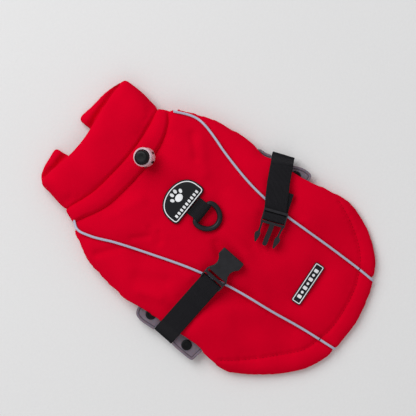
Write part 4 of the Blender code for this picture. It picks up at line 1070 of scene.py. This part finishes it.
class VEST_OT_neck(bpy.types.Operator):
    """Pads the neck casing and the stand collar, and closes the seams"""

    bl_idname = "vest.neck"
    bl_label = "Neck and collar"

    def execute(self, context):
        fabric = context.scene.vest_fabric
        lower, upper = (fuller(smooth_line(seam, 60)) for seam in (BODY_SEAM, COLLAR_SEAM))
        casing = padded_piece("neck_casing", "neck_band", fabric.neck_net, fabric.neck_swell, NECK_HOLD)
        points = points_of(casing.data)
        rise = crease(points, lower, fabric.seam_fill) + crease(points, upper, fabric.seam_fill)
        lift(casing, "neck_band", rise + puckers(points, lower, "casing") + puckers(points, upper, "collar"))
        collar = padded_piece("stand_collar", "collar", fabric.neck_net, fabric.neck_swell, NECK_HOLD)
        points = points_of(collar.data)
        mouth = np.array(COLLAR_MOUTH)
        past = points[:, 1] - np.interp(points[:, 0], mouth[:, 0], mouth[:, 1])
        low, high = COLLAR_UNDER_LAYER
        under = (points[:, 2] > low) & (points[:, 2] < high)
        hollow = np.where(under, -MOUTH_DEPTH * np.exp(-(((past - 0.0005) / MOUTH_SPREAD) ** 2)), 0.0)
        rise = hollow + crease(points, upper, fabric.seam_fill) + rolls(points, fabric.roll * 0.8)
        lift(collar, "collar", rise + puckers(points, upper, "collar"))
        join_seams([casing, collar] + [bpy.data.objects[f"padded_{part}"] for part in
                                       ("back", "side_left", "side_right", "chest")])
        return {"FINISHED"}


class VEST_OT_bindings(bpy.types.Operator):
    """Binds the edges of the leg openings"""

    bl_idname = "vest.bindings"
    bl_label = "Leg openings"

    def execute(self, context):
        outline = rounded_outline(*BINDING_SIZE)
        for side, (x, y, width, length, turn) in LEG_OPENINGS.items():
            line = np.array(oval(x, y, width - BINDING_INSET, length - BINDING_INSET, turn, 72))
            shape = sweep(outline, *level_frames(line, BINDING_MIDDLE, closed=True), closed=True)
            finish_piece(f"leg_binding_{side}", shape, shell_cloth())
        return {"FINISHED"}


class VEST_OT_pipings(bpy.types.Operator):
    """Lays the ribbed reflective pipings in the long seams"""

    bl_idname = "vest.pipings"
    bl_label = "Pipings"

    def execute(self, context):
        for side in ("left", "right"):
            node = f"piping_{side}"
            centres, across = strip_frames(node, Vector((0, 0.15, 0)))
            centres = [Vector(point) + UP * 0.0003 for point in fuller(centres)]
            ahead, past = PIPING_ENDS[side]
            centres[0] += (centres[0] - centres[1]).normalized() * max(ahead, 0)
            centres[-1] += (centres[-1] - centres[-2]).normalized() * past
            frames, gone = finer_frames(centres, across, 0.0015)
            first, mark = np.searchsorted(gone, (-ahead, gone[-1] - PIPING_MARK))
            shape = sweep(rounded_outline(*PIPING_SIZE), frames[first:], gone[first:])
            finish_piece(f"reflective_piping_{side}", shape, reflective_tape(), nodes=(node,))
            seam = bmesh.new()
            middle, edge = frames[mark].translation + UP * 0.0007, frames[mark].to_3x3().col[0] * MARK_HALF
            stitch(seam, middle - edge, middle + edge, MARK_THICK)
            finish_piece(f"piping_seam_{side}", seam, thread("Dark Thread", DARK_THREAD))
        return {"FINISHED"}


class VEST_OT_webbing(bpy.types.Operator):
    """Weaves both straps and the ring's loop"""

    bl_idname = "vest.webbing"
    bl_label = "Webbing"

    def execute(self, context):
        for node, name, width, spacing in (("strap_left", "webbing_left", STRAP_WIDTH, 0.0007),
                                           ("strap_right", "webbing_right", STRAP_WIDTH, 0.0007),
                                           ("ring_loop", "ring_webbing", LOOP_WIDTH, 0.0004)):
            centres, across = strip_frames(node)
            if node == "strap_right":
                centres, across = self.straighter(centres, across)
            shape = sweep(rounded_outline(width, WEBBING_THICK, WEBBING_ROUND),
                          *finer_frames(centres, across, spacing))
            finish_piece(name, shape, woven_webbing(), nodes=(node,))
        return {"FINISHED"}

    def straighter(self, centres, across):
        """The right strap's path, running straight into the plug, and its tail's end turned outwards."""
        if centres[0].z > centres[-1].z:
            centres, across = centres[::-1], across[::-1]
        aside = -PHOTO_RIGHT
        kept = [(centre.copy(), side) for number, (centre, side) in enumerate(zip(centres, across))
                if number not in STRAP_LEFT_OUT]
        moved = kept[STRAP_MOVED]
        for number, (centre, _) in enumerate(moved):
            centre += aside * STRAP_ASIDE * number / (len(moved) - 1)
        kept[STRAP_MOVED.stop][0].xy += aside.xy * STRAP_LAST_ASIDE
        kept[-1][0].xy -= aside.xy * TAIL_ASIDE
        return [centre for centre, _ in kept], [side for _, side in kept]


class VEST_OT_bands(bpy.types.Operator):
    """Moulds the side bands with their rims, and the snap caps on them"""

    bl_idname = "vest.bands"
    bl_label = "Side bands"

    def execute(self, context):
        trim = context.scene.vest_trim
        for side, (front, notch, rear, hidden) in BANDS.items():
            node = f"band_{side}"
            low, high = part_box(node)
            outline = [*smooth_line(front, 18), *notch, *smooth_line(rear, 22)]
            outline += [(hidden, rear[-1][1]), (hidden, front[0][1])]
            shape = raised(outline, high.z - low.z, Matrix.Translation((0, 0, low.z)))
            finish_piece(f"moulded_band_{side}", shape, moulded("Band Rubber"), nodes=(node,))
            inwards = 1 if side == "left" else -1
            # The rim is the band's own rubber; the dark strip beside it stands for the recess next to the
            # rim, painted shade
            for name, width, height, inset, material in (
                    ("rim", trim.rim, 0.0009, trim.rim / 2, moulded("Band Rubber")),
                    ("groove", 0.0007, 0.0004, trim.rim + 0.0004, moulded("Groove Rubber"))):
                whole = bmesh.new()
                for line in (smooth_line(front, 40), smooth_line(rear, 44)):
                    path = inset_line(line, inset, inwards)
                    add_shape(whole, sweep(rounded_outline(width, height, height * 0.45),
                                           *level_frames(path, high.z + 0.0001)))
                finish_piece(f"band_{name}_{side}", whole, material)
        for node in ("snap_left_front", "snap_left_rear", "snap_right_rear"):
            low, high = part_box(node)
            radius, top = (high.x - low.x) / 2, high.z - low.z
            profile = [(0, 0), (radius, 0), (radius, 0.45 * top), (0.93 * radius, 0.85 * top),
                       (0.80 * radius, top), (0.58 * radius, top), (0.50 * radius, 0.66 * top),
                       (0.20 * radius, 0.62 * top), (0.12 * radius, 0.74 * top), (0, 0.76 * top)]
            centre = Vector(((low.x + high.x) / 2, (low.y + high.y) / 2, low.z))
            if node == "snap_right_rear":
                centre += Vector((-0.0027, -0.0005, 0))
            shape = lathe(profile, 40)
            bmesh.ops.translate(shape, vec=centre, verts=shape.verts)
            finish_piece(f"{node}_cap", shape, moulded("Snap Plastic"), nodes=(node,))
        return {"FINISHED"}


def lathe(profile, sides):
    """A solid turned from (radius, height) points about the z axis."""
    shape = bmesh.new()
    chain = [shape.verts.new((radius, 0, height)) for radius, height in profile]
    edges = [shape.edges.new(pair) for pair in zip(chain, chain[1:])]
    bmesh.ops.spin(shape, geom=chain + edges, axis=(0, 0, 1), cent=(0, 0, 0), angle=2 * math.pi, steps=sides,
                   use_merge=True)
    bmesh.ops.remove_doubles(shape, verts=shape.verts, dist=1e-6)
    bmesh.ops.recalc_face_normals(shape, faces=shape.faces)
    return shape


def soften_edges(piece, width):
    """Rounds a piece's sharp edges."""
    step = piece.modifiers.new("soften", "BEVEL")
    step.width = width
    step.segments = 2
    step.limit_method = "ANGLE"
    step.angle_limit = math.radians(SOFTEN_ANGLE)
    step.harden_normals = True
    piece.data.shade_smooth()


def rigid_copy(name, node, material, width):
    """A CAD node's solid, its flat faces joined and its edges rounded where they get a width."""
    shape = merged(node)
    if width:
        bmesh.ops.dissolve_limit(shape, angle_limit=math.radians(1.0), verts=shape.verts, edges=shape.edges)
    piece = finish_piece(name, shape, material, nodes=(node,))
    if width:
        soften_edges(piece, width)
    return piece


class VEST_OT_buckle(bpy.types.Operator):
    """Moulds both halves of the side-release buckle"""

    bl_idname = "vest.buckle"
    bl_label = "Buckle"

    def execute(self, context):
        width = context.scene.vest_hardware.soften
        rigid_copy("moulded_socket", "buckle_socket", moulded("Buckle Plastic"), width)
        plug = rigid_copy("moulded_plug", "buckle_plug", moulded("Buckle Plastic"), width)
        side = Vector((-PLUG_AHEAD.y, PLUG_AHEAD.x, 0))
        for vertex in plug.data.vertices:
            from_bar = vertex.co - PLUG_START
            along, across = from_bar.dot(PLUG_AHEAD), from_bar.dot(side)
            share = max(along - PLUG_PRONGS, 0) / PRONG_LENGTH
            vertex.co += side * share * (-PRONG_SQUEEZE * across - PRONG_ASIDE)
            vertex.co -= PLUG_AHEAD * share * (PRONG_BACK - PRONG_SLANT * across)
        return {"FINISHED"}


class VEST_OT_ring(bpy.types.Operator):
    """Rounds the D-ring"""

    bl_idname = "vest.ring"
    bl_label = "D-ring"

    def execute(self, context):
        shape = merged("d_ring")
        bmesh.ops.join_triangles(shape, faces=shape.faces, angle_face_threshold=math.radians(60),
                                 angle_shape_threshold=math.radians(60))
        piece = finish_piece("moulded_ring", shape, moulded("Ring Plastic"), body="ring", nodes=("d_ring",))
        step = piece.modifiers.new("round", "SUBSURF")
        step.levels = step.render_levels = 2
        apply_modifiers(piece)
        move_points(piece.data, points_of(piece.data) + RING_PLUMP * normals_of(piece.data))
        piece.data.shade_smooth()
        return {"FINISHED"}


def flat_face(shape, outline, place):
    """A face over a closed (x, y) outline that looks up."""
    base = shape.faces.new([shape.verts.new(place @ Vector((x, y, 0))) for x, y in outline])
    base.normal_update()
    if base.normal.z < 0:
        bmesh.ops.reverse_faces(shape, faces=[base])
    return base


def draw_up(shape, faces, height):
    """Draws flat faces up into closed blocks."""
    grown = bmesh.ops.extrude_face_region(shape, geom=faces, use_keep_orig=True)["geom"]
    bmesh.ops.translate(shape, vec=(0, 0, height), verts=corners_of(grown))
    bmesh.ops.recalc_face_normals(shape, faces=shape.faces)


def raised(outline, height, place):
    """A flat block over a closed (x, y) outline."""
    shape = bmesh.new()
    draw_up(shape, [flat_face(shape, outline, place)], height)
    return shape


def add_shape(shape, other):
    """Joins another shape into this one."""
    mesh = bpy.data.meshes.new("joined")
    other.to_mesh(mesh)
    other.free()
    shape.from_mesh(mesh)
    bpy.data.meshes.remove(mesh)


def border(outline, inset, width, height, place):
    """A raised line that runs round inside a closed (x, y) outline."""
    shape = bmesh.new()
    base = flat_face(shape, outline, place)
    outside = bmesh.ops.inset_region(shape, faces=[base], thickness=inset, use_boundary=True,
                                      use_even_offset=True)["faces"]
    line = bmesh.ops.inset_region(shape, faces=[base], thickness=width, use_even_offset=True)["faces"]
    bmesh.ops.delete(shape, geom=outside + [base], context="FACES")
    draw_up(shape, [face for face in line if face.is_valid], height)
    return shape


def oval(x, y, width, length, turn=0.0, count=20):
    """Points round an oval."""
    points = []
    for i in range(count):
        angle = 2 * math.pi * i / count
        u, v = width / 2 * math.cos(angle), length / 2 * math.sin(angle)
        c, s = math.cos(math.radians(turn)), math.sin(math.radians(turn))
        points.append((x + u * c - v * s, y + u * s + v * c))
    return points


def arch_outline(width, height, corner, steps=24):
    """A straight base with small round corners under a half round top."""
    points = []
    for i in range(steps + 1):
        angle = math.pi * i / steps
        points.append((width / 2 * math.cos(angle), height * (0.72 * math.sin(angle) ** 0.8 - 0.22)))
    low, half = -height / 2, width / 2
    cut = 0.3 * corner
    points += [(-half, low + corner), (cut - half, low + cut), (corner - half, low)]
    points += [(-half / 2, low), (0, low), (half / 2, low)]
    points += [(half - corner, low), (half - cut, low + cut), (half, low + corner)]
    return points


def relief_piece(name, shapes, node):
    """Raised lines and marks in light rubber that follow the face of a plate."""
    whole = bmesh.new()
    for shape in shapes:
        add_shape(whole, shape)
    tree = surface_of([frame["nodes"][node]])
    for vertex in whole.verts:
        vertex.co.z += height_on(tree, vertex.co.x, vertex.co.y) - 0.0001
    soften_edges(finish_piece(name, whole, moulded("Relief Rubber")), RELIEF_ROUND)


class VEST_OT_badge(bpy.types.Operator):
    """Moulds the badge with a rim line, a paw mark and a row of bars"""

    bl_idname = "vest.badge"
    bl_label = "Badge"

    def execute(self, context):
        rise = context.scene.vest_hardware.relief_height
        rigid_copy("moulded_badge", "badge", moulded("Badge Rubber"), 0)
        place = Matrix.Translation((*BADGE_MIDDLE, 0)) @ Matrix.Rotation(math.radians(BADGE_TURN), 4, "Z")
        shapes = [border(arch_outline(*BADGE_SIZE), 0.0013, 0.0009, rise, place)]
        shapes.append(raised(oval(0, 0.0010, 0.0080, 0.0064), rise, place))
        for x, y, turn in TOES:
            shapes.append(raised(oval(x, y, 0.0030, 0.0042, turn), rise, place))
        for i in range(BARS):
            x = (i - BARS // 2) * BAR_PITCH
            bar = rounded_outline(0.0022, 0.0030, 0.0006)
            shapes.append(raised([(x + u, v - BAR_DROP) for u, v in bar], rise, place))
        relief_piece("badge_relief", shapes, "badge")
        return {"FINISHED"}


class VEST_OT_label(bpy.types.Operator):
    """Moulds the small label with a rim line and a row of marks"""

    bl_idname = "vest.label"
    bl_label = "Label"

    def execute(self, context):
        rise = context.scene.vest_hardware.relief_height
        rigid_copy("moulded_label", "label", moulded("Badge Rubber"), 0)
        low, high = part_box("label")
        centre = (low + high) / 2
        place = Matrix.Translation((centre.x, centre.y, 0))
        shapes = [border(rounded_outline(*LABEL_SIZE, 5), 0.0009, 0.0008, rise, place)]
        for i in range(LABEL_MARKS):
            x = (i - LABEL_MARKS // 2) * MARK_PITCH
            block = [(x + u, v) for u, v in rounded_outline(0.0032, 0.0040, 0.0008)]
            shapes.append(raised(oval(x, 0, 0.0026, 0.0026) if i % 2 else block, rise, place))
        relief_piece("label_relief", shapes, "label")
        return {"FINISHED"}


def lock_place():
    """The cord lock's own frame: its origin at the barrel's foot and z along the barrel."""
    joint = next(item for item in frame["joints"] if item["name"] == "button_press")
    axis = Vector(joint["axis"]).normalized()
    corners = [vertex.co for vertex in frame["nodes"]["lock_button"].data.vertices]
    middle = sum(corners, Vector()) / len(corners)
    foot = middle + axis * (min((corner - middle).dot(axis) for corner in corners) - BUTTON_FOOT)
    across = UP.cross(LOCK_LEAN).normalized()
    return Matrix.Translation(foot) @ Matrix((across, across.cross(axis) * -1, axis)).transposed().to_4x4()


class VEST_OT_cord_lock(bpy.types.Operator):
    """Turns the clear barrel and its push button, and braids the drawcord"""

    bl_idname = "vest.cord_lock"
    bl_label = "Cord lock"

    def execute(self, context):
        place = lock_place()
        rigid_copy("clear_barrel", "lock_body", moulded("Clear Plastic"), 0.0003)
        radius, foot, top = BUTTON_RADIUS, BUTTON_FOOT, BUTTON_FOOT + BUTTON_HEIGHT
        profile = [(0, foot), (radius, foot), (radius, top - 0.0020), (radius - 0.0004, top - 0.0009),
                   (radius - 0.0013, top - 0.0002), (radius - 0.0022, top), (0.0026, top - 0.0002),
                   (0, top - 0.0003)]
        shape = lathe(profile, 48)
        bmesh.ops.transform(shape, matrix=place, verts=shape.verts)
        finish_piece("push_button", shape, moulded("Snap Plastic"), body="button", nodes=("lock_button",))
        self.ribs(place)
        self.cord(place)
        return {"FINISHED"}

    def ribs(self, place):
        """Two dark slots and a pale rib between them on the barrel's side; the slots' black is painted shade
        of the cord holes seen through the clear wall, over the dark cord inside them.
        """
        slots, rib = bmesh.new(), bmesh.new()
        low = place @ Vector((0, 0, 0.0040)) - LOCK_LEAN * RIB_OUT
        high = place @ Vector((0, 0, 0.0128)) - LOCK_LEAN * RIB_OUT
        across = place.to_3x3().col[0]
        for way in (-1, 1):
            stitch(slots, low + across * SLOT_ASIDE * way, high + across * SLOT_ASIDE * way, 0.0026)
        stitch(rib, low, high, 0.0034)
        # Painted shade: solid black slots where the clear barrel has shaded cord holes
        finish_piece("barrel_slots", slots, moulded("Snap Plastic"))
        finish_piece("barrel_rib", rib, moulded("Clear Plastic"))

    def cord(self, place):
        """The bight of drawcord through the barrel."""
        half = [(-CORD_REACH, 0.0016), (-0.6 * CORD_REACH, 0.0030), (-0.3 * CORD_REACH, 0.0032)]
        route = half + [(-x, z) for x, z in reversed(half)]
        centres = [place @ Vector((x, 0, z)) for x, z in route]
        side = place.to_3x3().col[1].normalized()
        frames, gone = finer_frames(centres, [side] * len(centres), 0.0006)
        shape = sweep(rounded_outline(*CORD_SIZE), frames, gone)
        finish_piece("braided_drawcord", shape, braided_cord(), nodes=("drawcord",))


def stitch(shape, start, end, thickness):
    """One stitch between two points, thick in its middle."""
    ahead = end - start
    side = ahead.cross(UP).normalized()
    rise = side.cross(ahead).normalized()
    turn = Matrix((ahead.normalized() * ahead.length / 2, side * thickness / 2, rise * thickness / 2))
    matrix = Matrix.Translation((start + end) / 2) @ turn.transposed().to_4x4()
    bmesh.ops.create_uvsphere(shape, u_segments=6, v_segments=4, radius=1.0, matrix=matrix)


def stitch_row(name, line, tree, material):
    """A row of stitches that follows a line in plan over the cloth."""
    fabric = bpy.context.scene.vest_fabric
    shape = bmesh.new()
    gone = travelled(line)
    for at in np.arange(0.001, gone[-1] - fabric.stitch_length, fabric.stitch_pitch):
        ends = []
        for far in (at, at + fabric.stitch_length):
            x, y = (float(np.interp(far, gone, line[:, axis])) for axis in (0, 1))
            ends.append(Vector((x, y, height_on(tree, x, y))))
        stitch(shape, *ends, fabric.thread)
    finish_piece(name, shape, material)


class VEST_OT_stitching(bpy.types.Operator):
    """Sews the hem"""

    bl_idname = "vest.stitching"
    bl_label = "Stitching"

    def execute(self, context):
        red = thread("Red Thread", shade(context.scene.vest_fabric.shell, 0.50)[:3])
        body = [bpy.data.objects[f"padded_{part}"] for part in ("back", "side_left", "side_right")]
        stitch_row("hem_stitches", hem_seam(), surface_of(body), red)
        return {"FINISHED"}


def place_camera(stage):
    """A camera straight above the vest, turned as the photograph is."""
    camera = bpy.data.objects.new("camera", bpy.data.cameras.new("camera"))
    bpy.context.scene.collection.objects.link(camera)
    turn = Matrix((PHOTO_RIGHT.normalized(), PHOTO_UP.normalized(), UP)).transposed().to_4x4()
    camera.matrix_world = Matrix.Translation((*VIEW_MIDDLE, stage.view_height)) @ turn
    camera.data.sensor_width = SENSOR
    camera.data.lens = SENSOR * (stage.view_height - VEST_MIDDLE_HEIGHT) / stage.view_width
    camera.data.clip_end = 50.0
    bpy.context.scene.camera = camera


def soft_light(name, place, size, power):
    """A square light that faces the vest."""
    data = bpy.data.lights.new(name, "AREA")
    data.size = size
    data.energy = power
    lamp = bpy.data.objects.new(name, data)
    lamp.location = place
    lamp.rotation_euler = (-Vector(place)).to_track_quat("-Z", "Y").to_euler()
    bpy.context.scene.collection.objects.link(lamp)


class VEST_OT_stage(bpy.types.Operator):
    """Lays the floor and sets the light and the camera"""

    bl_idname = "vest.stage"
    bl_label = "Floor, light and view"

    def execute(self, context):
        stage = context.scene.vest_stage
        shape = bmesh.new()
        bmesh.ops.create_grid(shape, x_segments=4, y_segments=4, size=stage.floor_size / 2)
        mesh = bpy.data.meshes.new("floor")
        shape.to_mesh(mesh)
        shape.free()
        mesh.materials.append(floor_paper())
        floor = bpy.data.objects.new("floor", mesh)
        floor.location.z = -0.0002
        context.scene.collection.objects.link(floor)
        soft_light("key_light", *KEY_LIGHT, stage.key_power)
        soft_light("fill_light", *FILL_LIGHT, stage.key_power * FILL_SHARE)
        world = bpy.data.worlds.new("sky")
        world.use_nodes = True
        background = world.node_tree.nodes["Background"].inputs
        background["Color"].default_value = (1.0, 1.0, 1.0, 1.0)
        background["Strength"].default_value = stage.sky
        context.scene.world = world
        context.scene.view_settings.view_transform = "Standard"
        place_camera(stage)
        return {"FINISHED"}


class VEST_PT_pieces(bpy.types.Panel):
    """Makes each piece of the vest"""

    bl_idname = "VEST_PT_pieces"
    bl_label = "Dog Vest"
    bl_space_type = "VIEW_3D"
    bl_region_type = "UI"
    bl_category = "Dog Vest"

    def draw(self, context):
        for operator in OPERATORS:
            self.layout.operator(operator.bl_idname)


SETTINGS = {
    "vest_fabric": FabricSettings,
    "vest_trim": TrimSettings,
    "vest_hardware": HardwareSettings,
    "vest_stage": StageSettings,
}
OPERATORS = (
    VEST_OT_body, VEST_OT_neck, VEST_OT_bindings, VEST_OT_pipings, VEST_OT_webbing, VEST_OT_bands,
    VEST_OT_buckle, VEST_OT_ring, VEST_OT_badge, VEST_OT_label, VEST_OT_cord_lock, VEST_OT_stitching,
    VEST_OT_stage,
)


def register():
    for kind in (*SETTINGS.values(), *OPERATORS, VEST_PT_pieces):
        bpy.utils.register_class(kind)
    for name, kind in SETTINGS.items():
        setattr(bpy.types.Scene, name, PointerProperty(type=kind))


def unregister():
    for name in SETTINGS:
        delattr(bpy.types.Scene, name)
    for kind in (VEST_PT_pieces, *OPERATORS, *SETTINGS.values()):
        bpy.utils.unregister_class(kind)


def main():
    register()
    for operator in OPERATORS:
        group, name = operator.bl_idname.split(".")
        getattr(getattr(bpy.ops, group), name)()


if __name__ == "__main__":
    main()
